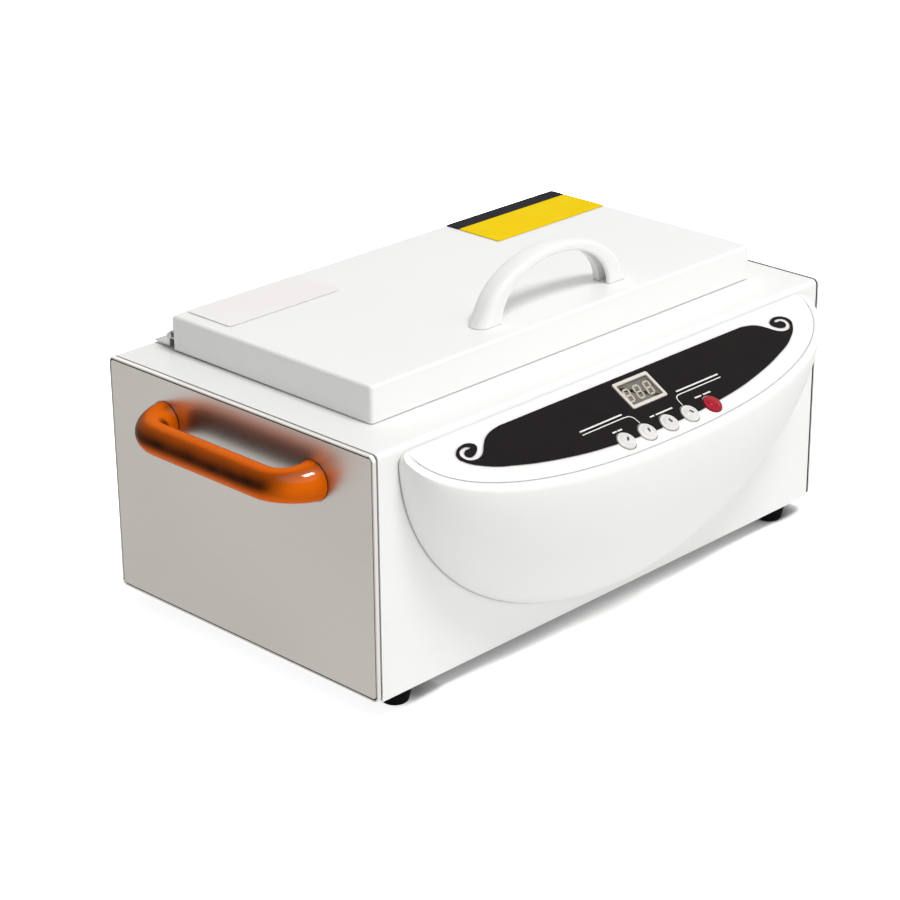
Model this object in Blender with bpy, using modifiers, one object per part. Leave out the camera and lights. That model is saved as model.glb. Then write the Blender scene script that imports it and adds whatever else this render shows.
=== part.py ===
"""Bench steriliser: a painted steel box with a heated chamber under a hinged lid.

Metres, +Z up. The long side runs along X, the control housing is on the -Y side, and Z = 0 is
the bench top. Sizes below are in the case's own frame, whose origin is the middle of the
case's bottom: the case empty puts that frame on its feet.
"""

import math

import bmesh
import bpy
from mathutils import Matrix, Vector

GAP = 0.0003                 # clearance between pieces that rest on each other

# Case
LENGTH = 0.360               # over the end plates
DEPTH = 0.204                # front panel to rear panel
HEIGHT = 0.1362              # case without feet and lid
SHEET = 0.001
WRAP_HALF = 0.1766           # the painted wrapper ends here, inside the end plates
WRAP_BEND = 0.003
FOOT_HEIGHT = 0.011
FOOT_TOP_RADIUS = 0.0110
FOOT_FLAT_RADIUS = 0.0084     # what touches the bench
FOOT_ROUND = 0.0022
FOOT_WELL = 0.0045            # radius of the well that hides the screw head
FOOT_FLOOR = 0.0040           # rubber above the screw head
FOOT_X = 0.1565
FOOT_Y = 0.090
BASE_WALL = 0.012            # upturned edge of the base plate
RIM_DEPTH = 0.0026           # rolled edge of an end plate
RIM_PROUD = 0.0004           # how far that edge stands outside the wrapper
RIM_CORNER = 0.005
FLANGE_DEPTH = 0.030         # the end plate's inner flange reaches this far in

# End handles
GRIP_BAR = 0.0175
GRIP_OUT = 0.019             # bar centre from the end plate
GRIP_Z = 0.111
GRIP_Y = -0.001
GRIP_LEG = 0.0573            # leg centre from the handle's middle
GRIP_BEND = 0.015
GRIP_FLARE = 1.25            # legs widen by this much where they meet the plate

# Lid and hinge
LID_HALF = 0.1517
LID_FRONT = -0.0721
LID_REAR = 0.0818
LID_BOTTOM = 0.1374
LID_TOP = 0.1569
LID_CORNER = 0.002
AXIS_Y = 0.0848              # hinge axis
AXIS_Z = 0.1442
KNUCKLES = 9
HINGE_LENGTH = 0.300
KNUCKLE_RADIUS = 0.0025
PIN_RADIUS = 0.0012
PIN_BORE = 0.0015
ARCH_X = 0.0025              # lid handle
ARCH_Y = -0.0515
ARCH_WIDTH = 0.013
ARCH_INNER_SPAN = 0.0425
ARCH_INNER_RISE = 0.0279
ARCH_OUTER_SPAN = 0.0598
ARCH_OUTER_RISE = 0.0331
ARCH_CHANNEL = 0.005          # width of the channel along the arch's inner side
ARCH_CHANNEL_DEEP = 0.0045    # its depth at the feet
ARCH_CHANNEL_TOP = 0.0022     # its depth at the crown
ARCH_SCREW = 0.0512           # from the arch's middle

# Chamber
TANK_Y = 0.0048              # middle of the chamber
TANK_LENGTH = 0.272
TANK_DEPTH = 0.122
TANK_FLOOR = 0.0693
TANK_TOP = 0.1373
TANK_WALL = 0.0008
TANK_CORNER = 0.012
TANK_RIM = 0.010
MOUTH_HALF_X = 0.139         # opening in the case's top
MOUTH_HALF_Y = 0.064
TRAY_LENGTH = 0.262
TRAY_DEPTH = 0.112
TRAY_FLOOR = 0.072
TRAY_TOP = 0.100
TRAY_HOLE = 0.0045
TRAY_COLUMNS = 9
TRAY_ROWS = 4
TRAY_PITCH = 0.026
STUD_RADIUS = 0.004           # the tray stands on four studs
STUD_AT = (0.118, 0.044)
BAIL_WIRE = 0.00125
BAIL_HALF = 0.030
BAIL_LOW = 0.008              # above the tray's floor
BAIL_TOP = 0.0465
BAIL_BEND = 0.007
WOOL_LOW = 0.058              # jacket round the chamber
WOOL_HIGH = 0.1345
WOOL_THICK = 0.012
HEATER_RADIUS = 0.00325
HEATER_PITCH = 0.028
HEATER_TURN = 0.092           # where the element turns back
HEATER_END = 0.157
CLAMP_AT = 0.060
CLAMP_HALF = 0.004

# Inside of the lid
LINER_Z = 0.1398              # level of the flat liner
LINER_SINK = 0.0060           # its plug hangs into the chamber's mouth
LINER_PLAY = 0.005            # by which the plug is smaller than the chamber
SEAL_OUTSIDE = (0.283, 0.133, 0.016)
SEAL_INSIDE = (0.276, 0.126, 0.0125)
LID_WOOL = (0.264, 0.114, 0.0105)
LID_WOOL_Z = 0.14655
LABEL_THICK = 0.0003
LABELS = (                    # name, material, across, front to rear
    ("lid_label", "yellow_label", (0.0575, 0.1500), (0.0375, 0.0695)),
    ("lid_label_band", "dark_label", (0.0575, 0.1500), (0.0698, 0.0803)),
    ("film_label", "film_label", (-0.143, -0.061), (0.044, 0.0800)))

# Control housing: a half-moon bowl under a face that leans back 60 degrees
FACE_LEAN = math.radians(60)
FACE_TOP_Y = -DEPTH / 2 - 0.0005
FACE_TOP_Z = 0.1332
TOP_EDGE = 0.0007            # the moulding starts this far down the face
LIP_HALF = 0.1635            # sharp lip, before rounding
LIP_DEPTH = 0.0572
LIP_POWER = 2.3
PRINT_HALF = 0.163           # where the bowl meets the front panel
PRINT_DEPTH = 0.1267
PRINT_POWER = 2.03
BOWL_POWER = 1.6
BOWL_CORNER = 0.007
LIP_ROUND = 0.005
HOUSING_WALL = 0.0022
BOARD_DROP = 0.0104          # control board below the face
BOARD_THICK = 0.0016
BOARD_SIZE = (0.130, 0.040)
BOARD_DOWN = 0.030
BOARD_STAKES = ((-0.060, 0.015), (0.060, 0.015), (-0.060, 0.045), (0.060, 0.045))
SWITCH_SIZE = (0.006, 0.006, 0.0045)
RELAY_SIZE = (0.019, 0.016, 0.016)
TRANSFORMER_SIZE = (0.030, 0.020, 0.016)

# Pieces on the face: across, and down the face
WINDOW = (-0.0006, 0.01935)
WINDOW_SIZE = (0.0278, 0.0183)
MODULE_SIZE = (0.0240, 0.0145)
DIGIT_WIDTH = 0.0056
DIGIT_HEIGHT = 0.0100
DIGIT_PITCH = 0.0078
BUTTON_DOWN = 0.0438
BUTTON_ACROSS = (-0.0349, -0.0182, -0.0007, 0.0166, 0.0354)
BUTTON_RADIUS = 0.0055
BUTTON_HOLE = 0.0059
BUTTON_PROUD = 0.0022
BUTTON_SIDE = 0.0007          # the cap's straight side stands this far out
BUTTON_FLANGE = 0.0066        # keeps the cap behind the face
BUTTON_STEM = 0.002
OVERLAY_THICK = 0.0004
SCROLL_ACROSS = 0.1277
SCROLL_DOWN = 0.0145
SCROLL_RADIUS = 0.0075

# Rear
INLET_X = 0.120
INLET_Z = 0.030
INLET_RECESS = (0.024, 0.017, 0.016)
INLET_PROUD = 0.0025
INLET_FLANGE = (0.050, 0.026, 0.006)
INLET_BODY = (0.027, 0.0187, 0.020)
INLET_PIN = (0.002, 0.012, 0.004)
LOOM_RADIUS = 0.0025
LOOM_PASS = (0.055, 0.0745)   # hole in the front panel for the loom

# Screws: head radius, length, shank radius
SCREW_HEAD = 0.0016           # height of every head
SCREW_PASS = 0.0018           # radius of a clearance hole
SCREWS = {
    "foot": (0.0032, 0.009, 0.0014),
    "grip": (0.0035, 0.010, 0.0015),
    "rear": (0.0028, 0.007, 0.0014),
    "housing": (0.0028, 0.010, 0.0011),
    "arch": (0.0030, 0.008, 0.0011),
    "inlet": (0.0028, 0.006, 0.0014),
}
REAR_SCREW_X = 0.155
REAR_SCREW_Z = 0.0065
HOUSING_SCREW_X = 0.110
HOUSING_SCREW_Z = 0.095
INLET_SCREW = 0.020           # from the inlet's middle

# The part's origin is the middle of everything it reaches, front to rear
FRONT_REACH = 0.15177        # the rounded lip, from the case's middle
REAR_REACH = DEPTH / 2 + INLET_PROUD + GAP + SCREW_HEAD
CASE_Y = (FRONT_REACH - REAR_REACH) / 2

# colour, roughness, metallic
FINISHES = {
    "white_enamel": ((0.88, 0.88, 0.87), 0.32, 0.0),
    "satin_steel": ((0.52, 0.51, 0.49), 0.38, 1.0),
    "bright_steel": ((0.62, 0.61, 0.60), 0.25, 1.0),
    "zinc_plate": ((0.55, 0.55, 0.54), 0.42, 1.0),
    "white_plastic": ((0.89, 0.89, 0.88), 0.35, 0.0),
    "amber_plastic": ((0.62, 0.11, 0.008), 0.22, 0.0),
    "black_rubber": ((0.012, 0.012, 0.012), 0.75, 0.0),
    "black_film": ((0.018, 0.016, 0.016), 0.40, 0.0),
    "grey_plastic": ((0.22, 0.21, 0.20), 0.45, 0.0),
    "beige_plastic": ((0.60, 0.54, 0.46), 0.45, 0.0),
    "clear_cap": ((0.72, 0.72, 0.71), 0.20, 0.0),
    "red_cap": ((0.55, 0.008, 0.030), 0.22, 0.0),
    "yellow_label": ((0.93, 0.64, 0.005), 0.40, 0.0),
    "dark_label": ((0.020, 0.022, 0.026), 0.40, 0.0),
    "film_label": ((0.85, 0.82, 0.81), 0.25, 0.0),
    "board_green": ((0.020, 0.130, 0.060), 0.45, 0.0),
    "black_plastic": ((0.015, 0.015, 0.015), 0.45, 0.0),
    "silicone": ((0.70, 0.16, 0.09), 0.60, 0.0),
    "mineral_wool": ((0.62, 0.56, 0.42), 0.95, 0.0),
    "heater_sheath": ((0.20, 0.19, 0.18), 0.50, 1.0),
}


def clear_scene():
    for item in list(bpy.data.objects):
        bpy.data.objects.remove(item, do_unlink=True)


def new_collection(name):
    group = bpy.data.collections.new(name)
    bpy.context.scene.collection.children.link(group)
    return group


def finish(name):
    """The named material, made on first use."""
    if name in bpy.data.materials:
        return bpy.data.materials[name]
    colour, roughness, metallic = FINISHES[name]
    material = bpy.data.materials.new(name)
    material.use_nodes = True
    shader = material.node_tree.nodes["Principled BSDF"]
    shader.inputs["Base Color"].default_value = (*colour, 1.0)
    shader.inputs["Roughness"].default_value = roughness
    shader.inputs["Metallic"].default_value = metallic
    return material


def new_empty(name, at, parent=None, turn=(0.0, 0.0, 0.0)):
    empty = bpy.data.objects.new(name, None)
    bpy.context.scene.collection.objects.link(empty)
    empty.parent = parent
    empty.location = at
    empty.rotation_euler = turn
    return empty


def node(name, mesh, look, carrier, at=(0.0, 0.0, 0.0), turn=(0.0, 0.0, 0.0)):
    """A sub-part in the part's collection, placed in its carrier's frame."""
    item = bpy.data.objects.new(name, mesh)
    part_group.objects.link(item)
    if not mesh.materials:
        mesh.materials.append(finish(look))
    item.parent = carrier
    item.location = at
    item.rotation_euler = turn
    return item


def tool(name, mesh, carrier, at=(0.0, 0.0, 0.0), turn=(0.0, 0.0, 0.0)):
    """A cutter, which isn't part of the object."""
    item = bpy.data.objects.new(name, mesh)
    tool_group.objects.link(item)
    item.parent = carrier
    item.location = at
    item.rotation_euler = turn
    item.hide_render = True
    item.display_type = "WIRE"
    return item


def combine(item, other, operation="DIFFERENCE"):
    change = item.modifiers.new(operation.title(), "BOOLEAN")
    change.operation = operation
    change.object = other
    change.solver = "EXACT"


def soften(item, width, segments=2, angle=40):
    bevel = item.modifiers.new("Soft edges", "BEVEL")
    bevel.width = width
    bevel.segments = segments
    bevel.limit_method = "ANGLE"
    bevel.angle_limit = math.radians(angle)


def thicken(item, wall, offset):
    shell = item.modifiers.new("Wall", "SOLIDIFY")
    shell.thickness = wall
    shell.offset = offset
    shell.use_even_offset = True


def smooth(mesh, angle=35):
    mesh.shade_smooth()
    mesh.set_sharp_from_angle(angle=math.radians(angle))
    return mesh


def finished_mesh(name, build):
    mesh = bpy.data.meshes.new(name)
    build.to_mesh(mesh)
    build.free()
    return mesh


def blocks(name, *boxes):
    """One mesh of separate boxes, each given as its size and its centre."""
    build = bmesh.new()
    for size, centre in boxes:
        place = Matrix.Translation(centre) @ Matrix.Diagonal((*size, 1.0))
        bmesh.ops.create_cube(build, size=1.0, matrix=place)
    return finished_mesh(name, build)


def rods(name, *pins, sides=16):
    """One mesh of separate cylinders, each given as its radius, start and end."""
    build = bmesh.new()
    for radius, start, end in pins:
        run = Vector(end) - Vector(start)
        turn = run.to_track_quat("Z", "Y").to_matrix().to_4x4()
        place = Matrix.Translation((Vector(start) + Vector(end)) / 2) @ turn
        bmesh.ops.create_cone(build, cap_ends=True, segments=sides, radius1=radius,
                              radius2=radius, depth=run.length, matrix=place)
    return smooth(finished_mesh(name, build))


def joined(name, *meshes):
    build = bmesh.new()
    for mesh in meshes:
        build.from_mesh(mesh)
    return finished_mesh(name, build)


def evaluated_mesh(item):
    """The item's mesh as its modifiers leave it; the item itself goes."""
    bpy.context.scene.collection.objects.link(item)
    graph = bpy.context.evaluated_depsgraph_get()
    mesh = bpy.data.meshes.new_from_object(item.evaluated_get(graph))
    bpy.data.objects.remove(item, do_unlink=True)
    return mesh


def turned(name, profile, steps=16):
    """A profile of (radius, height) pairs, outer side downwards, spun about Z."""
    line = bpy.data.meshes.new(name)
    points = [(radius, 0.0, height) for radius, height in profile]
    line.from_pydata(points, [(i, i + 1) for i in range(len(points) - 1)], [])
    item = bpy.data.objects.new(name, line)
    spin = item.modifiers.new("Turn", "SCREW")
    spin.steps = steps
    spin.render_steps = steps
    spin.use_merge_vertices = True
    spin.merge_threshold = 0.00001
    return smooth(evaluated_mesh(item))


def curve_mesh(name, curve):
    """A mesh of a curve, with its caps joined and its flat areas in one piece."""
    mesh = evaluated_mesh(bpy.data.objects.new(name, curve))
    build = bmesh.new()
    build.from_mesh(mesh)
    bmesh.ops.remove_doubles(build, verts=build.verts, dist=0.00001)
    bmesh.ops.dissolve_limit(build, angle_limit=math.radians(0.5), verts=build.verts,
                             edges=build.edges, use_dissolve_boundaries=False)
    return finished_mesh(name, build)


def plate(name, outlines, thickness):
    """A flat plate from closed outlines in XY; an outline inside another is a hole."""
    curve = bpy.data.curves.new(name, "CURVE")
    curve.dimensions = "2D"
    curve.fill_mode = "BOTH"
    curve.extrude = thickness / 2
    for outline in outlines:
        spline = curve.splines.new("POLY")
        spline.points.add(len(outline) - 1)
        for point, (x, y) in zip(spline.points, outline):
            point.co = (x, y, 0.0, 1.0)
        spline.use_cyclic_u = True
    return curve_mesh(name, curve)


def wire_curve(name, points, radius, sides_step=2, widths=None):
    """A round wire or bar along points; widths scales its radius point by point."""
    curve = bpy.data.curves.new(name, "CURVE")
    curve.dimensions = "3D"
    curve.bevel_depth = radius
    curve.bevel_resolution = sides_step
    curve.use_fill_caps = True
    spline = curve.splines.new("POLY")
    spline.points.add(len(points) - 1)
    for index, (point, place) in enumerate(zip(spline.points, points)):
        point.co = (*place, 1.0)
        point.radius = widths[index] if widths else 1.0
    return curve


def rounded_rectangle(width, height, radius, steps=4, centre=(0.0, 0.0)):
    outline = []
    for quarter in range(4):
        middle_x = centre[0] + (width / 2 - radius) * (1 if quarter in (0, 3) else -1)
        middle_y = centre[1] + (height / 2 - radius) * (1 if quarter in (0, 1) else -1)
        for step in range(steps + 1):
            turn = math.radians(90) * (quarter + step / steps)
            outline.append((middle_x + radius * math.cos(turn), middle_y + radius * math.sin(turn)))
    return outline


def bent_path(corners, radius, steps=3):
    """A path through corners with each inner corner turned on an arc."""
    path = [Vector(corners[0])]
    for before, corner, after in zip(corners, corners[1:], corners[2:]):
        corner = Vector(corner)
        come = (corner - Vector(before)).normalized()
        leave = (Vector(after) - corner).normalized()
        half = come.angle(leave) / 2
        reach = radius * math.tan(half)
        start = corner - come * reach
        middle = start + (leave - come * come.dot(leave)).normalized() * radius
        for step in range(steps + 1):
            turn = 2 * half * step / steps
            path.append(middle + (start - middle) * math.cos(turn) + come * radius * math.sin(turn))
    path.append(Vector(corners[-1]))
    return path


def bent_sheet(name, corners, bend, x_from, x_to, look, carrier, wall=SHEET):
    """Sheet metal: a bent line in YZ drawn out along X; the wall goes to the line's right."""
    line = bent_path([(0.0, y, z) for y, z in corners], bend)
    build = bmesh.new()
    first = [build.verts.new((x_from, point.y, point.z)) for point in line]
    edges = [build.edges.new(pair) for pair in zip(first, first[1:])]
    drawn = bmesh.ops.extrude_edge_only(build, edges=edges)["geom"]
    moved = [element for element in drawn if isinstance(element, bmesh.types.BMVert)]
    bmesh.ops.translate(build, verts=moved, vec=(x_to - x_from, 0.0, 0.0))
    build.normal_update()
    build.faces.ensure_lookup_table()
    outward = Vector((1.0, 0.0, 0.0)).cross(line[1] - line[0])
    start_face = min(build.faces, key=lambda face: (face.calc_center_median().yz - line[0].yz).length)
    if start_face.normal.dot(outward) < 0:
        bmesh.ops.reverse_faces(build, faces=build.faces)
    item = node(name, finished_mesh(name, build), look, carrier)
    thicken(item, wall, -1.0)
    return item


def open_box(name, size, corner, mouth, rim=None, corner_steps=4):
    """A box of one skin, open at its top or bottom; rim is a flange's width and its corner."""
    build = bmesh.new()
    bmesh.ops.create_cube(build, size=1.0, matrix=Matrix.Diagonal((*size, 1.0)))
    upright = [edge for edge in build.edges
               if abs(edge.verts[0].co.z - edge.verts[1].co.z) > size[2] / 2]
    bmesh.ops.bevel(build, geom=upright, offset=corner, offset_type="OFFSET",
                    segments=corner_steps, profile=0.5, affect="EDGES")
    build.normal_update()
    cap = [face for face in build.faces if face.normal.z * mouth > 0.9]
    bmesh.ops.delete(build, geom=cap, context="FACES")
    if rim:
        lip = [edge for edge in build.edges if edge.is_boundary]
        drawn = bmesh.ops.extrude_edge_only(build, edges=lip)["geom"]
        moved = [element for element in drawn if isinstance(element, bmesh.types.BMVert)]
        width, sharper = rim
        for vert in moved:
            for axis in (0, 1):
                side = math.copysign(1.0, vert.co[axis])
                across = (vert.co[axis] - side * (size[axis] / 2 - corner)) / corner
                vert.co[axis] = side * (size[axis] / 2 + width - sharper) + sharper * across
    return finished_mesh(name, build)


def screw_mesh(name, head, length, shank, steps=10):
    """A pan-head screw along -Z, its head's seat at Z = 0."""
    profile = [(0.0, SCREW_HEAD), (head * 0.75, SCREW_HEAD), (head, SCREW_HEAD * 0.5), (head, 0.0),
               (shank, 0.0), (shank, -length), (0.0, -length)]
    return turned(name, profile, steps)


def fasteners(kind, ends, places, carrier):
    """Copies of one screw; each place is its seat and the way it points."""
    mesh = screw_mesh(kind + "_screw", *SCREWS[kind])
    for end, (seat, way) in zip(ends, places):
        turn = Vector((0.0, 0.0, -1.0)).rotation_difference(Vector(way)).to_euler()
        node(f"{kind}_screw_{end}", mesh, "zinc_plate", carrier, seat, turn)


def face_point(across, down, height=0.0):
    """A place in the case's frame of a point on the control face."""
    y = FACE_TOP_Y - down * math.sin(FACE_LEAN) - height * math.cos(FACE_LEAN)
    z = FACE_TOP_Z - down * math.cos(FACE_LEAN) + height * math.sin(FACE_LEAN)
    return Vector((across, y, z))


def half_moon(turn, half_width, depth, power, corner):
    """Across and down of a half superellipse, with its top corners rounded."""
    across = half_width * abs(math.cos(turn)) ** (2 / power)
    down = depth * abs(math.sin(turn)) ** (2 / power)
    if down < corner:
        across -= corner - math.sqrt(corner ** 2 - (corner - down) ** 2)
    return math.copysign(across, math.cos(turn)), down


def moon_turns(count):
    """Angles round a half moon, closer together at its two ends."""
    crowding = 0.8
    shares = [step / count for step in range(count + 1)]
    return [math.pi * (share - crowding * math.sin(2 * math.pi * share) / (2 * math.pi))
            for share in shares]


def bowl_rings(turns, sweeps, wall, top, back):
    """Rings of the bowl from its lip to the panel; wall draws everything in."""
    rings = []
    height = -wall
    start = face_point(0.0, top, height).z
    bottom = face_point(0.0, TOP_EDGE).z - PRINT_DEPTH + wall
    for sweep in sweeps:
        out = abs(math.cos(sweep)) ** (2 / BOWL_POWER)
        fore = abs(math.sin(sweep)) ** (2 / BOWL_POWER)
        ring = []
        for turn in turns:
            across, down = half_moon(turn, LIP_HALF - wall, LIP_DEPTH - wall - top,
                                     LIP_POWER, BOWL_CORNER)
            lip = face_point(across, top + down, height)
            across, down = half_moon(turn, PRINT_HALF - wall, start - bottom, PRINT_POWER,
                                     BOWL_CORNER)
            foot_z = start - down
            ring.append(Vector((lip.x + (across - lip.x) * out,
                                back + (lip.y - back) * fore,
                                lip.z + (foot_z - lip.z) * out)))
        rings.append(ring)
    return rings


def moon_solid(name, rings):
    """A closed solid from rings, its first ring capped as the face, its last as the back."""
    build = bmesh.new()
    rows = [[build.verts.new(point) for point in ring] for ring in rings]
    for upper, lower in zip(rows, rows[1:]):
        for i in range(len(upper) - 1):
            build.faces.new((upper[i], upper[i + 1], lower[i + 1], lower[i]))
    build.faces.new(rows[0])
    build.faces.new(rows[-1])
    build.faces.new([row[0] for row in rows] + [row[-1] for row in reversed(rows)])
    bmesh.ops.recalc_face_normals(build, faces=build.faces)
    return smooth(finished_mesh(name, build), 28)


def sweep_angles(first, count):
    return [first * (1 - step / count) for step in range(count + 1)]


def control_housing(case, face, housing_screws):
    back = -DEPTH / 2 - GAP
    turns = moon_turns(38)
    bowl = bowl_rings(turns, sweep_angles(math.radians(84.7), 6), 0.0, TOP_EDGE, back)
    crease = []
    for turn in turns:
        across, down = half_moon(turn, LIP_HALF - LIP_ROUND - 0.001,
                                 LIP_DEPTH - LIP_ROUND - TOP_EDGE, LIP_POWER, 0.003)
        crease.append(face_point(across, TOP_EDGE + down))
    sharp = bowl_rings(turns, [math.pi / 2], 0.0, TOP_EDGE, back)[0]
    rounding = []
    for share in (0.3, 0.7):
        rounding.append([start * (1 - share) ** 2 + edge * 2 * share * (1 - share) + end * share ** 2
                         for start, edge, end in zip(crease, sharp, bowl[0])])
    housing = node("control_housing", moon_solid("control_housing", [crease] + rounding + bowl),
                   "white_plastic", case)

    hollow_rings = bowl_rings(moon_turns(22), sweep_angles(math.pi / 2, 5), HOUSING_WALL,
                              0.003, back)
    past = [Vector((point.x, back + 0.002, point.z)) for point in hollow_rings[-1]]
    hollow = tool("housing_hollow", moon_solid("housing_hollow", hollow_rings + [past]), case)
    screw_bosses = [(0.004, (seat[0], back + 0.003, seat[2]), (seat[0], back - 0.06, seat[2]))
                    for seat, way in housing_screws]
    combine(hollow, tool("screw_bosses", rods("screw_bosses", *screw_bosses, sides=12), case))
    for name, radius, low, high in (("pillars", 0.003, GAP - BOARD_DROP, 0.001),
                                    ("stakes", 0.0013, -0.0130, -0.008),
                                    ("stake_heads", 0.0026, -0.0136, -BOARD_DROP - BOARD_THICK - GAP)):
        posts = [(radius, (x, -down, low), (x, -down, high)) for x, down in BOARD_STAKES]
        combine(hollow, tool(name, rods(name, *posts, sides=12), face))
    combine(housing, hollow)

    pilots = [(0.0014, (seat[0], back + 0.002, seat[2]), (seat[0], back - 0.011, seat[2]))
              for seat, way in housing_screws]
    combine(housing, tool("screw_pilots", rods("screw_pilots", *pilots, sides=10), case))
    openings = [(BUTTON_HOLE, (across, -BUTTON_DOWN, -0.01), (across, -BUTTON_DOWN, 0.01))
                for across in BUTTON_ACROSS]
    module_hole = ((MODULE_SIZE[0] + 2 * GAP, MODULE_SIZE[1] + 2 * GAP, 0.02),
                   (WINDOW[0], -WINDOW[1], 0.0))
    cut = joined("face_openings", rods("face_rods", *openings), blocks("face_block", module_hole))
    combine(housing, tool("face_openings", cut, face))
    return housing


def overlay_outline():
    """The black film's edge: straight on top, a scroll at each end, and a low curve."""
    top = [(0.060, 0.007), (0.098, 0.007), (0.105, 0.0083), (0.112, 0.0112), (0.1175, 0.0165)]
    low = [(0.131, 0.0207), (0.126, 0.0240), (0.117, 0.0285), (0.108, 0.0313), (0.097, 0.0345),
           (0.081, 0.0380), (0.062, 0.0412), (0.042, 0.0432), (0.021, 0.0446)]
    scroll = []
    for step in range(10):
        turn = math.radians(150 - 190 * step / 9)
        scroll.append((SCROLL_ACROSS + SCROLL_RADIUS * math.cos(turn),
                       SCROLL_DOWN - SCROLL_RADIUS * math.sin(turn)))
    right = [(0.0, 0.007)] + top + scroll + low + [(0.0, 0.0450)]
    left = [(-across, down) for across, down in reversed(right[1:-1])]
    return [(across, -down) for across, down in right + left]


def face_pieces(face):
    window_at = (WINDOW[0], -WINDOW[1])
    clear = (WINDOW_SIZE[0] + 2 * GAP, WINDOW_SIZE[1] + 2 * GAP)
    film = plate("control_overlay",
                 [overlay_outline(), rounded_rectangle(*clear, 0.0012, 2, window_at)], OVERLAY_THICK)
    overlay = node("control_overlay", film, "black_film", face, (0.0, 0.0, GAP + OVERLAY_THICK / 2))
    holes = [(BUTTON_HOLE + GAP, (across, -BUTTON_DOWN, -0.01), (across, -BUTTON_DOWN, 0.01))
             for across in BUTTON_ACROSS]
    combine(overlay, tool("film_holes", rods("film_holes", *holes, sides=20), face))

    frame_height = 0.001
    inside = (MODULE_SIZE[0] - 0.0008, MODULE_SIZE[1] - 0.0008)
    bezel = plate("display_bezel", [rounded_rectangle(*WINDOW_SIZE, 0.001, 2),
                                    rounded_rectangle(*inside, 0.0006, 2)], frame_height)
    node("display_bezel", bezel, "beige_plastic", face, (*window_at, GAP + frame_height / 2))
    depth = BOARD_DROP - GAP
    module = node("display_module", blocks("display_module", ((*MODULE_SIZE, depth), (0.0, 0.0, 0.0))),
                  "grey_plastic", face, (*window_at, -depth / 2))
    combine(module, tool("digit_bars", digit_bars(), face, (*window_at, 0.0)), "UNION")


def digit_bars():
    """Three digits of seven raised bars each."""
    bar = 0.0011
    thick = 2 * GAP
    upright = DIGIT_HEIGHT / 2 - bar * 1.35
    level = DIGIT_WIDTH - bar * 2.4
    bars = []
    for place in (-1, 0, 1):
        middle = place * DIGIT_PITCH
        for rise in (-1, 0, 1):
            bars.append(((level, bar, thick), (middle, rise * (DIGIT_HEIGHT - bar) / 2, 0.0)))
        for side in (-1, 1):
            for rise in (-1, 1):
                across = middle + side * (DIGIT_WIDTH - bar) / 2
                bars.append(((bar, upright, thick), (across, rise * (DIGIT_HEIGHT - bar) / 4, 0.0)))
    return blocks("digit_bars", *bars)


def buttons(face):
    dome = [(BUTTON_RADIUS * math.sin(math.radians(turn)),
             BUTTON_SIDE + (BUTTON_PROUD - BUTTON_SIDE) * math.cos(math.radians(turn)))
            for turn in (0, 30, 60, 90)]
    flange_top, flange_low, stem_end = -0.0026, -0.0036, -0.0051
    skirt = [(BUTTON_RADIUS, flange_top), (BUTTON_FLANGE, flange_top), (BUTTON_FLANGE, flange_low),
             (BUTTON_STEM, flange_low), (BUTTON_STEM, stem_end), (0.0, stem_end)]
    cap = turned("button", dome + skirt, 12)
    red = cap.copy()
    for index, across in enumerate(BUTTON_ACROSS):
        last = index == len(BUTTON_ACROSS) - 1
        node(f"button_{index + 1}", red if last else cap, "red_cap" if last else "clear_cap",
             face, (across, -BUTTON_DOWN, 0.0))


def control_board(face):
    """The board with what is soldered to it: a switch under each button, a relay, a transformer."""
    middle = -BOARD_DROP - BOARD_THICK / 2
    board = node("control_board", blocks("control_board", ((*BOARD_SIZE, BOARD_THICK), (0.0, 0.0, 0.0))),
                 "board_green", face, (0.0, -BOARD_DOWN, middle))
    holes = [(0.0017, (x, -down, -0.02), (x, -down, 0.0)) for x, down in BOARD_STAKES]
    combine(board, tool("board_holes", rods("board_holes", *holes, sides=10), face))
    soldered = [(SWITCH_SIZE, (across, -BUTTON_DOWN, -BOARD_DROP + 0.00175))
                for across in BUTTON_ACROSS]
    soldered += [(RELAY_SIZE, (-0.030, -0.032, middle - 0.0085)),
                 (TRANSFORMER_SIZE, (0.006, -0.034, middle - 0.0085))]
    combine(board, tool("soldered", blocks("soldered", *soldered), face), "UNION")


def wrapper(case, mouth_tools):
    half = DEPTH / 2
    corners = [(-half, 0.0), (-half, HEIGHT), (half, HEIGHT), (half, 0.0)]
    shell = bent_sheet("body_shell", corners, WRAP_BEND, -WRAP_HALF, WRAP_HALF, "white_enamel", case)
    mouth = plate("case_mouth", [rounded_rectangle(2 * MOUTH_HALF_X, 2 * MOUTH_HALF_Y, TANK_CORNER)], 0.02)
    combine(shell, tool("case_mouth", mouth, case, (0.0, TANK_Y, HEIGHT)))
    combine(shell, tool("case_openings", mouth_tools, case))
    return shell


def base_plate(case, screw_holes):
    half = DEPTH / 2 - SHEET - GAP
    corners = [(half, BASE_WALL), (half, 0.0), (-half, 0.0), (-half, BASE_WALL)]
    base = bent_sheet("base_plate", corners, 0.0015, -WRAP_HALF, WRAP_HALF, "zinc_plate", case)
    slots = [((0.004, 0.050, 0.01), (-0.05 + 0.02 * index, 0.0, 0.0)) for index in range(6)]
    cut = joined("base_openings", screw_holes, blocks("base_slots", *slots))
    combine(base, tool("base_openings", cut, case))


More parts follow.
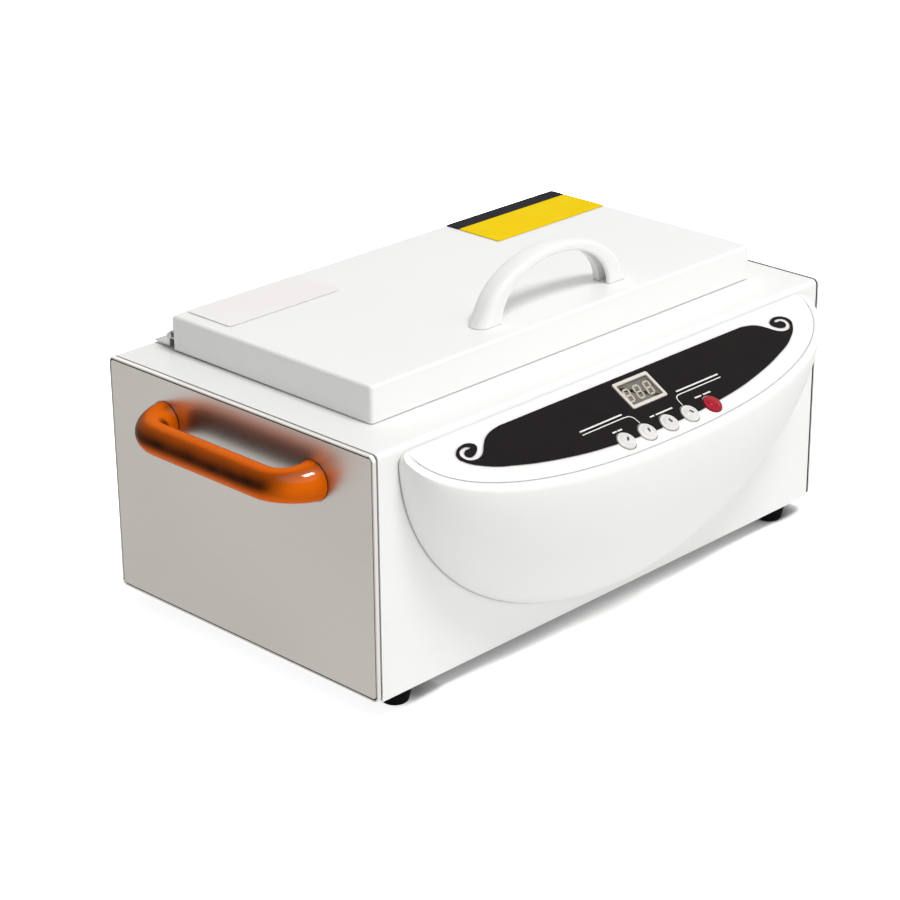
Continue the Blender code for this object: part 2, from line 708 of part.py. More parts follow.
def end_plate(case, side, name, screw_holes):
    """A pan with a rolled rim outside and a narrower flange that goes into the wrapper."""
    outer = LENGTH / 2
    tall = HEIGHT + 2 * RIM_PROUD
    deep = DEPTH + 2 * RIM_PROUD
    middle = HEIGHT / 2
    lift = SHEET + GAP
    flange_deep = DEPTH - 2 * (2 * SHEET + 2 * GAP)
    flange_tall = HEIGHT - 2 * lift
    turn = (math.radians(90), 0.0, math.radians(90))
    rim_mesh = plate(name, [rounded_rectangle(deep, tall, RIM_CORNER, 3)], RIM_DEPTH)
    pan = node(name, rim_mesh, "satin_steel", case, (side * (outer - RIM_DEPTH / 2), 0.0, middle), turn)
    soften(pan, 0.0008, 2, 60)
    reach = FLANGE_DEPTH - SHEET
    flange_at = (side * (outer - SHEET - reach / 2), 0.0, middle)
    flange = plate(name + "_flange", [rounded_rectangle(flange_deep, flange_tall, 0.003, 2)], reach)
    combine(pan, tool(name + "_flange", flange, case, flange_at, turn), "UNION")
    inside = rounded_rectangle(flange_deep - 2 * SHEET, flange_tall - 2 * SHEET, 0.002, 2)
    hollow = plate(name + "_hollow", [inside], 0.06)
    hollow_at = (side * (outer - SHEET - 0.03), 0.0, middle)
    combine(pan, tool(name + "_hollow", hollow, case, hollow_at, turn))
    combine(pan, tool(name + "_holes", screw_holes, case))


def end_handle(case, side, name, pilots):
    """A round bar bent back to the plate at both ends."""
    start = LENGTH / 2 + GAP
    out = LENGTH / 2 + GRIP_OUT
    widths = [GRIP_FLARE, 1.13, 1.03]
    leg = [(start, 0.0), (start + 0.0013, 0.0), (out - GRIP_BEND, 0.0)]
    bend = []
    for step in range(1, 6):
        turn = math.radians(90) * step / 5
        bend.append((out - GRIP_BEND + GRIP_BEND * math.sin(turn), GRIP_BEND * (1 - math.cos(turn))))
    half = leg + bend
    widths += [1.0] * len(bend)
    path = [(side * x, GRIP_Y - GRIP_LEG + inward, GRIP_Z) for x, inward in half]
    path += [(side * x, GRIP_Y + GRIP_LEG - inward, GRIP_Z) for x, inward in reversed(half)]
    curve = wire_curve(name, path, GRIP_BAR / 2, 5, widths + widths[::-1])
    handle = node(name, smooth(curve_mesh(name, curve)), "amber_plastic", case)
    combine(handle, tool(name + "_pilots", pilots, case))


def feet(case):
    side = FOOT_FLAT_RADIUS + 0.75 * FOOT_ROUND
    profile = [(FOOT_TOP_RADIUS, -GAP), (FOOT_FLAT_RADIUS + FOOT_ROUND, FOOT_ROUND - FOOT_HEIGHT),
               (side, 0.35 * FOOT_ROUND - FOOT_HEIGHT), (FOOT_FLAT_RADIUS, -FOOT_HEIGHT),
               (FOOT_WELL, -FOOT_HEIGHT), (FOOT_WELL, -FOOT_FLOOR), (SCREW_PASS, -FOOT_FLOOR),
               (SCREW_PASS, -GAP), (FOOT_TOP_RADIUS, -GAP)]
    rubber = turned("foot", profile, 16)
    for end, x in (("left", -FOOT_X), ("right", FOOT_X)):
        for row, y in (("front", -FOOT_Y), ("rear", FOOT_Y)):
            node(f"foot_{row}_{end}", rubber, "black_rubber", case, (x, y, 0.0))


def lid_at(x, y, z):
    """A place in the case's frame, seen from the hinge axis."""
    return (x, y - AXIS_Y, z - AXIS_Z)


def lid_pieces(lid, handle_screws):
    middle_y = (LID_FRONT + LID_REAR) / 2
    width = 2 * LID_HALF
    depth = LID_REAR - LID_FRONT
    tall = LID_TOP - LID_BOTTOM
    skin = open_box("lid_shell", (width, depth, tall), LID_CORNER, -1, None, 2)
    shell = node("lid_shell", skin, "white_enamel", lid, lid_at(0.0, middle_y, LID_BOTTOM + tall / 2))
    soften(shell, 0.0014, 2, 50)
    thicken(shell, SHEET, -1.0)
    holes = [(SCREW_PASS, lid_at(seat[0], seat[1], LID_TOP - 0.01),
              lid_at(seat[0], seat[1], LID_TOP + 0.01)) for seat, way in handle_screws]
    combine(shell, tool("lid_holes", rods("lid_holes", *holes, sides=10), lid))

    plug = (TANK_LENGTH - LINER_PLAY, TANK_DEPTH - LINER_PLAY)
    skirt = depth / 2 - SHEET - 2 * GAP - plug[1] / 2
    cup = open_box("lid_liner", (*plug, LINER_SINK), TANK_CORNER - 0.002, 1, (skirt, 0.002))
    liner = node("lid_liner", cup, "bright_steel", lid, lid_at(0.0, TANK_Y, LINER_Z - LINER_SINK / 2))
    thicken(liner, TANK_WALL, 1.0)

    seal_outline = [rounded_rectangle(*SEAL_OUTSIDE), rounded_rectangle(*SEAL_INSIDE)]
    low = TANK_TOP + GAP
    high = LINER_Z - TANK_WALL - GAP
    node("lid_gasket", plate("lid_gasket", seal_outline, high - low), "silicone", lid,
         lid_at(0.0, TANK_Y, (low + high) / 2))
    wool = (LID_WOOL, lid_at(0.0, TANK_Y, LID_WOOL_Z))
    node("lid_insulation", blocks("lid_insulation", wool), "mineral_wool", lid)
    lid_handle(lid, handle_screws)
    lid_labels(lid)


def half_ellipse(span, rise, steps=16):
    turns = [math.pi * step / steps for step in range(steps + 1)]
    return [(span * math.cos(turn), rise * math.sin(turn)) for turn in turns]


def lid_handle(lid, handle_screws):
    """An arch between two half ellipses, with a channel along its inner side."""
    outer = half_ellipse(ARCH_OUTER_SPAN, ARCH_OUTER_RISE)
    inner = half_ellipse(ARCH_INNER_SPAN, ARCH_INNER_RISE)
    arch = plate("lid_handle", [outer + inner[::-1]], ARCH_WIDTH)
    place = lid_at(ARCH_X, ARCH_Y, LID_TOP + GAP)
    turn = (math.radians(90), 0.0, 0.0)
    handle = node("lid_handle", smooth(arch), "white_plastic", lid, place, turn)
    soften(handle, 0.0022, 2, 35)
    reach = ARCH_INNER_SPAN + ARCH_CHANNEL_DEEP
    below = 0.002
    channel = half_ellipse(reach, ARCH_INNER_RISE + ARCH_CHANNEL_TOP) + [(-reach, -below), (reach, -below)]
    combine(handle, tool("arch_channel", plate("arch_channel", [channel], ARCH_CHANNEL), lid, place, turn))
    pilots = [(0.0014, lid_at(seat[0], seat[1], LID_TOP - 0.002), lid_at(seat[0], seat[1], LID_TOP + 0.008))
              for seat, way in handle_screws]
    combine(handle, tool("arch_pilots", rods("arch_pilots", *pilots, sides=10), lid))


def lid_labels(lid):
    z = LID_TOP + GAP + LABEL_THICK / 2
    for name, look, x_range, y_range in LABELS:
        size = (x_range[1] - x_range[0], y_range[1] - y_range[0], LABEL_THICK)
        node(name, blocks(name, (size, lid_at(sum(x_range) / 2, sum(y_range) / 2, z))), look, lid)


def knuckle_places(own):
    pitch = HINGE_LENGTH / KNUCKLES
    return [-HINGE_LENGTH / 2 + pitch * (index + 0.5) for index in range(KNUCKLES) if index % 2 == own]


def hinge_leaf(name, leaf, carrier, own, notch_z, axis):
    """Cut a leaf back where the other leaf's knuckles are, then give it its own."""
    pitch = HINGE_LENGTH / KNUCKLES
    middle_y, middle_z = axis
    notches = [((pitch + 2 * GAP, 0.012, notch_z[1] - notch_z[0]),
                (x, middle_y, (notch_z[0] + notch_z[1]) / 2)) for x in knuckle_places(1 - own)]
    combine(leaf, tool(name + "_notches", blocks(name + "_notches", *notches), carrier))
    width = pitch / 2 - GAP
    barrels = [(KNUCKLE_RADIUS, (x - width, middle_y, middle_z), (x + width, middle_y, middle_z))
               for x in knuckle_places(own)]
    combine(leaf, tool(name + "_barrels", rods(name + "_barrels", *barrels, sides=12), carrier), "UNION")
    reach = HINGE_LENGTH / 2 + 0.01
    bore = (PIN_BORE, (-reach, middle_y, middle_z), (reach, middle_y, middle_z))
    combine(leaf, tool(name + "_bore", rods(name + "_bore", bore, sides=12), carrier))


def hinge(case, lid):
    half = HINGE_LENGTH / 2
    base_z = HEIGHT + GAP
    knee = AXIS_Y + 0.0024
    corners = [(0.0990, base_z + SHEET), (knee - SHEET, base_z + SHEET), (knee - SHEET, AXIS_Z)]
    fixed = bent_sheet("hinge_fixed_leaf", corners, 0.0005, -half, half, "zinc_plate", case)
    hinge_leaf("hinge_fixed_leaf", fixed, case, 0, (AXIS_Z - 0.0030, AXIS_Z + 0.004), (AXIS_Y, AXIS_Z))

    near = LID_REAR + GAP
    leaf = ((HINGE_LENGTH, SHEET, 0.0103), lid_at(0.0, near + SHEET / 2, AXIS_Z + 0.0103 / 2))
    moving = node("hinge_moving_leaf", blocks("hinge_moving_leaf", leaf), "zinc_plate", lid)
    hinge_leaf("hinge_moving_leaf", moving, lid, 1, (-0.004, 0.0030), (0.0, 0.0))

    reach = half + 0.0015
    head = (0.0020, 0.0008)
    profile = [(0.0, reach), (head[0], reach), (head[0], reach - head[1]), (PIN_RADIUS, reach - head[1]),
               (PIN_RADIUS, -reach + head[1]), (head[0], -reach + head[1]), (head[0], -reach),
               (0.0, -reach)]
    node("hinge_pin", turned("hinge_pin", profile, 12), "bright_steel", case,
         (0.0, AXIS_Y, AXIS_Z), (0.0, math.radians(90), 0.0))


def chamber(case, tray):
    depth = TANK_TOP - TANK_FLOOR
    skin = open_box("chamber_tank", (TANK_LENGTH, TANK_DEPTH, depth), TANK_CORNER, 1, (TANK_RIM, 0.005))
    tank = node("chamber_tank", skin, "bright_steel", case, (0.0, TANK_Y, TANK_FLOOR + depth / 2))
    thicken(tank, TANK_WALL, 1.0)

    inner = (TANK_LENGTH + 0.0024, TANK_DEPTH + 0.0024)
    tall = WOOL_HIGH - WOOL_LOW
    wool = open_box("tank_insulation", (*inner, tall), TANK_CORNER - 0.003, 1, None, 3)
    jacket = node("tank_insulation", wool, "mineral_wool", case, (0.0, TANK_Y, WOOL_LOW + tall / 2))
    thicken(jacket, WOOL_THICK, 1.0)
    slot = ((0.04, 0.100, 0.0102), (inner[0] / 2 + 0.018, TANK_Y, WOOL_LOW + 0.0052))
    combine(jacket, tool("heater_slot", blocks("heater_slot", slot), case))

    tray_rise = TRAY_TOP - TRAY_FLOOR
    basket = open_box("instrument_tray", (TRAY_LENGTH, TRAY_DEPTH, tray_rise), 0.008, 1, None, 3)
    floor = node("instrument_tray", basket, "bright_steel", tray, (0.0, 0.0, tray_rise / 2))
    thicken(floor, TANK_WALL, -1.0)
    studs = [(STUD_RADIUS, (x, y, -0.0024), (x, y, 0.0004))
             for x in (-STUD_AT[0], STUD_AT[0]) for y in (-STUD_AT[1], STUD_AT[1])]
    combine(floor, tool("tray_studs", rods("tray_studs", *studs, sides=10), tray), "UNION")
    holes = []
    for column in range(TRAY_COLUMNS):
        for row in range(TRAY_ROWS):
            x = TRAY_PITCH * (column - (TRAY_COLUMNS - 1) / 2)
            y = TRAY_PITCH * (row - (TRAY_ROWS - 1) / 2)
            holes.append((TRAY_HOLE, (x, y, -0.002), (x, y, 0.003)))
    combine(floor, tool("tray_holes", rods("tray_holes", *holes, sides=6), tray))
    for name, side in (("tray_grip_left", -1), ("tray_grip_right", 1)):
        tray_grip(name, side, tray)


def tray_grip(name, side, tray):
    """A wire bail that stands inside the tray's end wall."""
    x = side * (TRAY_LENGTH / 2 - TANK_WALL - GAP - BAIL_WIRE)
    corners = [(x, -BAIL_HALF, BAIL_LOW), (x, -BAIL_HALF, BAIL_TOP), (x, BAIL_HALF, BAIL_TOP),
               (x, BAIL_HALF, BAIL_LOW)]
    path = bent_path(corners, BAIL_BEND, 4)
    curve = wire_curve(name, [tuple(point) for point in path], BAIL_WIRE, 2)
    node(name, smooth(curve_mesh(name, curve)), "bright_steel", tray)


def heater(case):
    """Four straight runs under the chamber joined by half turns, both ends to the right."""
    level = TANK_FLOOR - TANK_WALL - GAP - HEATER_RADIUS
    path = [(HEATER_END, TANK_Y - 1.5 * HEATER_PITCH, level)]
    for run in range(3):
        side = -1 if run % 2 == 0 else 1
        middle_y = TANK_Y + (run - 1) * HEATER_PITCH
        for step in range(7):
            turn = math.radians(-90 + 180 * step / 6)
            path.append((side * (HEATER_TURN + HEATER_PITCH / 2 * math.cos(turn)),
                         middle_y + HEATER_PITCH / 2 * math.sin(turn), level))
    path.append((HEATER_END, TANK_Y + 1.5 * HEATER_PITCH, level))
    curve = wire_curve("heater_element", path, HEATER_RADIUS, 2)
    node("heater_element", smooth(curve_mesh("heater_element", curve)), "heater_sheath", case)

    top = TANK_FLOOR - TANK_WALL - GAP - SHEET
    under = level - HEATER_RADIUS - GAP - SHEET
    tab, side = 0.059, 0.050
    line = [(tab, top), (side, top), (side, under), (-side, under), (-side, top), (-tab, top)]
    for name, x in (("heater_clamp_left", -CLAMP_AT), ("heater_clamp_right", CLAMP_AT)):
        bent_sheet(name, [(TANK_Y + y, z) for y, z in line], 0.0006, x - CLAMP_HALF, x + CLAMP_HALF,
                   "zinc_plate", case)

    probe = turned("temperature_probe", [(0.0, 0.016), (0.0015, 0.0155), (0.0025, 0.014),
                                         (0.0025, -0.014), (0.0018, -0.014), (0.0018, -0.018),
                                         (0.0, -0.018)], 10)
    node("temperature_probe", probe, "bright_steel", case,
         (0.0, TANK_Y - HEATER_PITCH, TANK_FLOOR - TANK_WALL - GAP - 0.0025),
         (0.0, math.radians(90), 0.0))
    cutout = turned("thermal_cutout", [(0.0, 0.003), (0.008, 0.003), (0.008, 0.0), (0.0062, 0.0),
                                       (0.0062, -0.003), (0.0, -0.003)], 12)
    node("thermal_cutout", cutout, "black_plastic", case,
         (0.0, TANK_Y + HEATER_PITCH, TANK_FLOOR - TANK_WALL - GAP - 0.003))


def power_inlet(case, inlet_screws):
    """A socket set into the rear panel, with its three pins moulded in."""
    rear = DEPTH / 2
    width, tall, deep = INLET_RECESS
    flange = plate("power_inlet", [rounded_rectangle(*INLET_FLANGE, 3)], INLET_PROUD - GAP)
    inlet = node("power_inlet", flange, "black_plastic", case,
                 (INLET_X, rear + (INLET_PROUD + GAP) / 2, INLET_Z), (math.radians(90), 0.0, 0.0))
    body = (INLET_BODY, (INLET_X, rear - 0.0082, INLET_Z))
    combine(inlet, tool("inlet_body", blocks("inlet_body", body), case), "UNION")
    recess = ((width, deep + 0.01, tall), (INLET_X, rear + INLET_PROUD - deep + (deep + 0.01) / 2, INLET_Z))
    ears = [(SCREW_PASS, (seat[0], rear - 0.003, seat[2]), (seat[0], rear + 0.006, seat[2]))
            for seat, way in inlet_screws]
    cut = joined("inlet_cut", blocks("inlet_recess", recess), rods("inlet_ears", *ears, sides=10))
    combine(inlet, tool("inlet_cut", cut, case))
    floor = rear + INLET_PROUD - deep
    pins = [(INLET_PIN, (INLET_X + across, floor - 0.001 + INLET_PIN[1] / 2, INLET_Z + up))
            for across, up in ((-0.007, -0.002), (0.0, 0.002), (0.007, -0.002))]
    combine(inlet, tool("inlet_pins", blocks("inlet_pins", *pins), case), "UNION")


def smooth_route(points, steps):
    """Points on a curve that passes through all of the given ones."""
    knots = [Vector(point) for point in points]
    knots = [knots[0] * 2 - knots[1]] + knots + [knots[-1] * 2 - knots[-2]]
    route = []
    for a, b, c, d in zip(knots, knots[1:], knots[2:], knots[3:]):
        for step in range(steps):
            t = step / steps
            route.append(0.5 * (2 * b + (c - a) * t + (2 * a - 5 * b + 4 * c - d) * t ** 2
                                + (3 * b - a - 3 * c + d) * t ** 3))
    route.append(knots[-2])
    return [tuple(point) for point in route]


def wiring_loom(case):
    """The sleeved wires from the inlet along the floor to the control board."""
    inlet_back = DEPTH / 2 - 0.0082 - INLET_BODY[1] / 2 - GAP
    under_board = face_point(0.055, 0.030, -BOARD_DROP - 0.0016 - 2 * GAP)
    along = Vector((0.0, -math.cos(FACE_LEAN), math.sin(FACE_LEAN)))
    route = [(INLET_X, inlet_back, INLET_Z), (INLET_X, inlet_back - 0.008, INLET_Z),
             (0.115, 0.050, 0.026), (0.095, 0.0, 0.026), (0.070, -0.055, 0.026),
             (0.058, -0.082, 0.040), (0.055, -0.093, 0.066), (0.055, -0.106, 0.078),
             tuple(under_board - along * 0.010), tuple(under_board)]
    curve = wire_curve("wiring_loom", smooth_route(route, 2), LOOM_RADIUS, 2)
    node("wiring_loom", smooth(curve_mesh("wiring_loom", curve)), "black_plastic", case)


def build_part():
    case = new_empty("case", (0.0, CASE_Y, FOOT_HEIGHT))
    face = new_empty("control_face", (0.0, FACE_TOP_Y, FACE_TOP_Z), case,
                     (math.radians(90) - FACE_LEAN, 0.0, 0.0))
    lid = new_empty("lid_axis", (0.0, AXIS_Y, AXIS_Z), case)
    tray = new_empty("tray_floor", (0.0, TANK_Y, TRAY_FLOOR), case)

    rear = DEPTH / 2
    up, fore = (0.0, 0.0, 1.0), (0.0, -1.0, 0.0)
    corners = [(x, y) for x in (-FOOT_X, FOOT_X) for y in (-FOOT_Y, FOOT_Y)]
    foot_screws = [((x, y, -FOOT_FLOOR - GAP), up) for x, y in corners]
    rear_screws = [((x, rear + GAP, REAR_SCREW_Z), fore) for x in (-REAR_SCREW_X, 0.0, REAR_SCREW_X)]
    grip_screws = [((side * (LENGTH / 2 - SHEET - GAP), GRIP_Y + end * GRIP_LEG, GRIP_Z), (side, 0.0, 0.0))
                   for side in (-1, 1) for end in (-1, 1)]
    arch_screws = [((ARCH_X + end * ARCH_SCREW, ARCH_Y, LID_TOP - SHEET - GAP), up) for end in (-1, 1)]
    housing_screws = [((x, SHEET + GAP - rear, HOUSING_SCREW_Z), fore)
                      for x in (-HOUSING_SCREW_X, HOUSING_SCREW_X)]
    inlet_screws = [((INLET_X + side * INLET_SCREW, rear + INLET_PROUD + GAP, INLET_Z), fore)
                    for side in (-1, 1)]

    rear_holes = [(SCREW_PASS, (seat[0], rear - 0.01, seat[2]), (seat[0], rear + 0.01, seat[2]))
                  for seat, way in rear_screws]
    floor_holes = [(SCREW_PASS, (x, y, -0.01), (x, y, 0.01)) for x, y in corners]
    panel_holes = [(SCREW_PASS, (seat[0], rear - 0.01, seat[2]), (seat[0], rear + 0.01, seat[2]))
                   for seat, way in inlet_screws]
    panel_holes += [(SCREW_PASS, (seat[0], -rear - 0.01, seat[2]), (seat[0], 0.01 - rear, seat[2]))
                    for seat, way in housing_screws]
    loom_x, loom_z = LOOM_PASS
    loom_hole = (0.008, (loom_x, -rear - 0.01, loom_z), (loom_x, 0.01 - rear, loom_z))
    inlet_hole = ((INLET_RECESS[0] + 0.004, 0.02, INLET_RECESS[1] + 0.005), (INLET_X, rear, INLET_Z))
    wrapper(case, joined("case_openings", rods("case_rods", *rear_holes, *panel_holes, sides=10),
                         rods("loom_hole", loom_hole), blocks("inlet_hole", inlet_hole)))
    base_plate(case, rods("base_holes", *floor_holes, *rear_holes, sides=10))
    for name, side in (("left", -1), ("right", 1)):
        seats = [seat for seat, way in grip_screws if seat[0] * side > 0]
        through = [(0.0019, (side * 0.170, seat[1], seat[2]), (side * 0.190, seat[1], seat[2]))
                   for seat in seats]
        through += [hole for hole in floor_holes + rear_holes if hole[1][0] * side > 0.1]
        end_plate(case, side, "end_plate_" + name, rods("plate_holes_" + name, *through, sides=10))
        pilots = [(0.0019, (side * 0.179, seat[1], seat[2]), (side * 0.1905, seat[1], seat[2]))
                  for seat in seats]
        end_handle(case, side, "end_handle_" + name, rods("grip_pilots_" + name, *pilots, sides=10))
    feet(case)
    ends = ("front_left", "rear_left", "front_right", "rear_right")
    fasteners("foot", ends, foot_screws, case)
    fasteners("grip", ends, grip_screws, case)
    fasteners("rear", ("left", "middle", "right"), rear_screws, case)

    control_housing(case, face, housing_screws)
    face_pieces(face)
    buttons(face)
    control_board(face)
    fasteners("housing", ("left", "right"), housing_screws, case)

    lid_pieces(lid, arch_screws)
    fasteners("arch", ("left", "right"), [(lid_at(*seat), way) for seat, way in arch_screws], lid)
    hinge(case, lid)

    chamber(case, tray)
    heater(case)
    power_inlet(case, inlet_screws)
    fasteners("inlet", ("left", "right"), inlet_screws, case)
    wiring_loom(case)


clear_scene()
part_group = new_collection("bench_steriliser")
tool_group = new_collection("cutters")
build_part()
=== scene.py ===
import math

import bmesh
import bpy
from mathutils import Matrix, Vector


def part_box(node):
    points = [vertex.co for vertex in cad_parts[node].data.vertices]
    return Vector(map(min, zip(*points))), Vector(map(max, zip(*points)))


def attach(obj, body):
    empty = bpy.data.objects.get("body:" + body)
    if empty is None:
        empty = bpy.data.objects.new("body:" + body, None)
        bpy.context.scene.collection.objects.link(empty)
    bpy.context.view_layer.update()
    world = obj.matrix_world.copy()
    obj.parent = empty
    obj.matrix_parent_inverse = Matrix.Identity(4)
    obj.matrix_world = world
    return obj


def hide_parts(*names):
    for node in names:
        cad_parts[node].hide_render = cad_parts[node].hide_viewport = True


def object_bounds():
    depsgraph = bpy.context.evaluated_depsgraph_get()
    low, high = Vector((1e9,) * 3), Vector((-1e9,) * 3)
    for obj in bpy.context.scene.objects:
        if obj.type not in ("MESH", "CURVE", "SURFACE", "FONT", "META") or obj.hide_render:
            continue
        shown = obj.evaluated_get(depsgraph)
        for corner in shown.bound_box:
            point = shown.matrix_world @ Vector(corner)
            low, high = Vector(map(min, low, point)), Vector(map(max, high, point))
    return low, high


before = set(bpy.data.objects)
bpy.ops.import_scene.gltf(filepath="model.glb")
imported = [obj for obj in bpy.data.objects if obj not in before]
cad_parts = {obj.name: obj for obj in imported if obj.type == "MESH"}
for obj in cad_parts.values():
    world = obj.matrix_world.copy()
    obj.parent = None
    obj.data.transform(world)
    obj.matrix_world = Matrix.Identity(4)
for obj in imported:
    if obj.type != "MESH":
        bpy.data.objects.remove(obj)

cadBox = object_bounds()
print("frame loaded:", len(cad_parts), "nodes")

# Small measures
gap = 0.0003                             # clear space between pieces that meet
cut = 0.01                               # a cutter reaches this far past a face
weld = 0.000002                          # points nearer than this are one
onLevel = 0.00002                        # a point this near to a level lies on it
quarterTurn = math.radians(90)

# Places read from the frame
shellLow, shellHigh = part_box("body_shell")
lidLow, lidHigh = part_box("lid_shell")
tankLow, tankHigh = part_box("chamber_tank")
faceLean = math.radians(60)              # the control face leans back this far
faceTop = Vector((0.0, shellLow.y - 0.0005, shellHigh.z - 0.003))
faceFrame = Matrix.Translation(faceTop) @ Matrix.Rotation(quarterTurn - faceLean, 4, "X")


# Helpers for modelling by hand

def middleOf(node):
    low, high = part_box(node)
    return (low + high) / 2


def deselect():
    if bpy.context.object and bpy.context.object.mode != "OBJECT":
        bpy.ops.object.mode_set(mode="OBJECT")
    bpy.ops.object.select_all(action="DESELECT")


def takeUp(piece):
    deselect()
    piece.select_set(True)
    bpy.context.view_layer.objects.active = piece


def named(name):
    piece = bpy.context.object
    piece.name = name
    piece.data.name = name
    return piece


def applyPlace(piece):
    takeUp(piece)
    bpy.ops.object.transform_apply(location=True, rotation=True, scale=True)
    return piece


def boxPiece(name, low, high):
    deselect()
    low, high = Vector(low), Vector(high)
    bpy.ops.mesh.primitive_cube_add(size=1, location=(low + high) / 2, scale=high - low)
    return applyPlace(named(name))


def rodPiece(name, radius, start, end, sides=48):
    deselect()
    start, end = Vector(start), Vector(end)
    turn = (end - start).to_track_quat("Z", "Y").to_euler()
    bpy.ops.mesh.primitive_cylinder_add(vertices=sides, radius=radius, depth=(end - start).length,
                                        location=(start + end) / 2, rotation=turn)
    return applyPlace(named(name))


def editMesh(piece):
    takeUp(piece)
    bpy.ops.object.mode_set(mode="EDIT")
    bpy.ops.mesh.select_mode(type="VERT")


def leaveEdit():
    bpy.ops.object.mode_set(mode="OBJECT")


def choose(piece, kind, test):
    bpy.ops.mesh.select_mode(type=kind)
    bpy.ops.mesh.select_all(action="DESELECT")
    work = bmesh.from_edit_mesh(piece.data)
    parts = {"VERT": work.verts, "EDGE": work.edges, "FACE": work.faces}[kind]
    for part in parts:
        if test(part):
            part.select_set(True)
    bmesh.update_edit_mesh(piece.data)


def along(axis):
    return lambda edge: abs((edge.verts[0].co - edge.verts[1].co).normalized()[axis]) > 0.999


def facing(axis, sign):
    return lambda face: face.normal[axis] * sign > 0.9


def edgeAt(axis, value):
    return lambda edge: all(abs(vert.co[axis] - value) < onLevel for vert in edge.verts)


def roundEdges(width, segments):
    bpy.ops.mesh.bevel(offset_type="OFFSET", offset=width, segments=segments, profile=0.5,
                       affect="EDGES")


def selectAll():
    bpy.ops.mesh.select_all(action="SELECT")


def roundedBox(name, low, high, *rounds):
    # a box with each chosen set of edges rounded in turn; it stays in edit mode
    piece = boxPiece(name, low, high)
    editMesh(piece)
    for test, width, segments in rounds:
        choose(piece, "EDGE", test)
        roundEdges(width, segments)
    return piece


def extrudeBy(x, y, z):
    bpy.ops.mesh.extrude_region_move(TRANSFORM_OT_translate={"value": (x, y, z)})


def closeUp():
    selectAll()
    bpy.ops.mesh.remove_doubles(threshold=weld)
    bpy.ops.mesh.normals_make_consistent(inside=False)


def changed(piece, kind, **settings):
    change = piece.modifiers.new(kind.title(), kind)
    for setting, value in settings.items():
        setattr(change, setting, value)
    takeUp(piece)
    bpy.ops.object.modifier_apply(modifier=change.name)
    return piece


def carve(piece, *cutters, operation="DIFFERENCE"):
    for cutter in cutters:
        changed(piece, "BOOLEAN", operation=operation, object=cutter, solver="EXACT")
        bpy.data.objects.remove(cutter)
    return piece


def smoothed(piece, angle=35, weighted=False):
    takeUp(piece)
    bpy.ops.object.shade_smooth_by_angle(angle=math.radians(angle))
    if weighted:
        changed(piece, "WEIGHTED_NORMAL", keep_sharp=True, weight=100)
    return piece


def placed(piece, place):
    piece.matrix_world = place
    return applyPlace(piece)


def newObject(name, data):
    piece = bpy.data.objects.new(name, data)
    bpy.context.scene.collection.objects.link(piece)
    return piece


def copied(piece, name, place):
    double = piece.copy()
    double.data = piece.data.copy()
    double.name = name
    double.data.name = name
    bpy.context.scene.collection.objects.link(double)
    double.data.transform(place)
    if place.determinant() < 0:
        double.data.flip_normals()
    return double


def flatPiece(name, outlines, thickness):
    curve = bpy.data.curves.new(name, "CURVE")
    curve.dimensions = "2D"
    curve.fill_mode = "BOTH"
    curve.extrude = thickness / 2
    for outline in outlines:
        spline = curve.splines.new("POLY")
        spline.points.add(len(outline) - 1)
        for point, (x, y) in zip(spline.points, outline):
            point.co = (x, y, 0.0, 1.0)
        spline.use_cyclic_u = True
    takeUp(newObject(name, curve))
    bpy.ops.object.convert(target="MESH")
    piece = named(name)
    editMesh(piece)
    selectAll()
    bpy.ops.mesh.remove_doubles(threshold=weld)
    leaveEdit()
    return piece


def spunPiece(name, profile, steps=48, angle=35):
    deselect()
    bpy.ops.mesh.primitive_plane_add(size=gap)
    piece = named(name)
    editMesh(piece)
    selectAll()
    bpy.ops.mesh.merge(type="CENTER")
    points = [Vector((radius, 0.0, height)) for radius, height in profile]
    bpy.ops.transform.translate(value=points[0])
    for before, after in zip(points, points[1:]):
        extrudeBy(*(after - before))
    selectAll()
    bpy.ops.mesh.spin(steps=steps, angle=2 * math.pi, center=(0, 0, 0), axis=(0, 0, 1))
    closeUp()
    leaveEdit()
    return smoothed(piece, angle)


def paint(piece, look):
    piece.data.materials.clear()
    piece.data.materials.append(looks[look])


def settle(piece, look, body, slot, *nodes):
    paint(piece, look)
    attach(piece, body)
    if nodes:
        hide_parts(*nodes)


def settleBoth(left, name, look, slot, node):
    right = copied(left, name + "Right", Matrix.Diagonal((-1, 1, 1, 1)))
    settle(left, look, "case", slot, node + "_left")
    settle(right, look, "case", slot, node + "_right")


def roundedOutline(width, height, radius, steps=8, centre=(0.0, 0.0)):
    outline = []
    for quarter in range(4):
        middleX = centre[0] + (width / 2 - radius) * (1 if quarter in (0, 3) else -1)
        middleY = centre[1] + (height / 2 - radius) * (1 if quarter in (0, 1) else -1)
        for step in range(steps + 1):
            turn = quarterTurn * (quarter + step / steps)
            outline.append((middleX + radius * math.cos(turn), middleY + radius * math.sin(turn)))
    return outline


def smoothLine(points, steps):
    knots = [Vector(point) for point in points]
    knots = [knots[0] * 2 - knots[1]] + knots + [knots[-1] * 2 - knots[-2]]
    line = []
    for a, b, c, d in zip(knots, knots[1:], knots[2:], knots[3:]):
        for step in range(steps):
            t = step / steps
            line.append(0.5 * (2 * b + (c - a) * t + (2 * a - 5 * b + 4 * c - d) * t ** 2
                               + (3 * b - a - 3 * c + d) * t ** 3))
    line.append(knots[-2])
    return line


# Materials

def fromScreen(*levels):
    return tuple(((level / 255 + 0.055) / 1.055) ** 2.4 if level > 10 else level / 255 / 12.92
                 for level in levels) + (1.0,)


noiseReach = (0.25, 0.75)                # a noise texture's usual levels


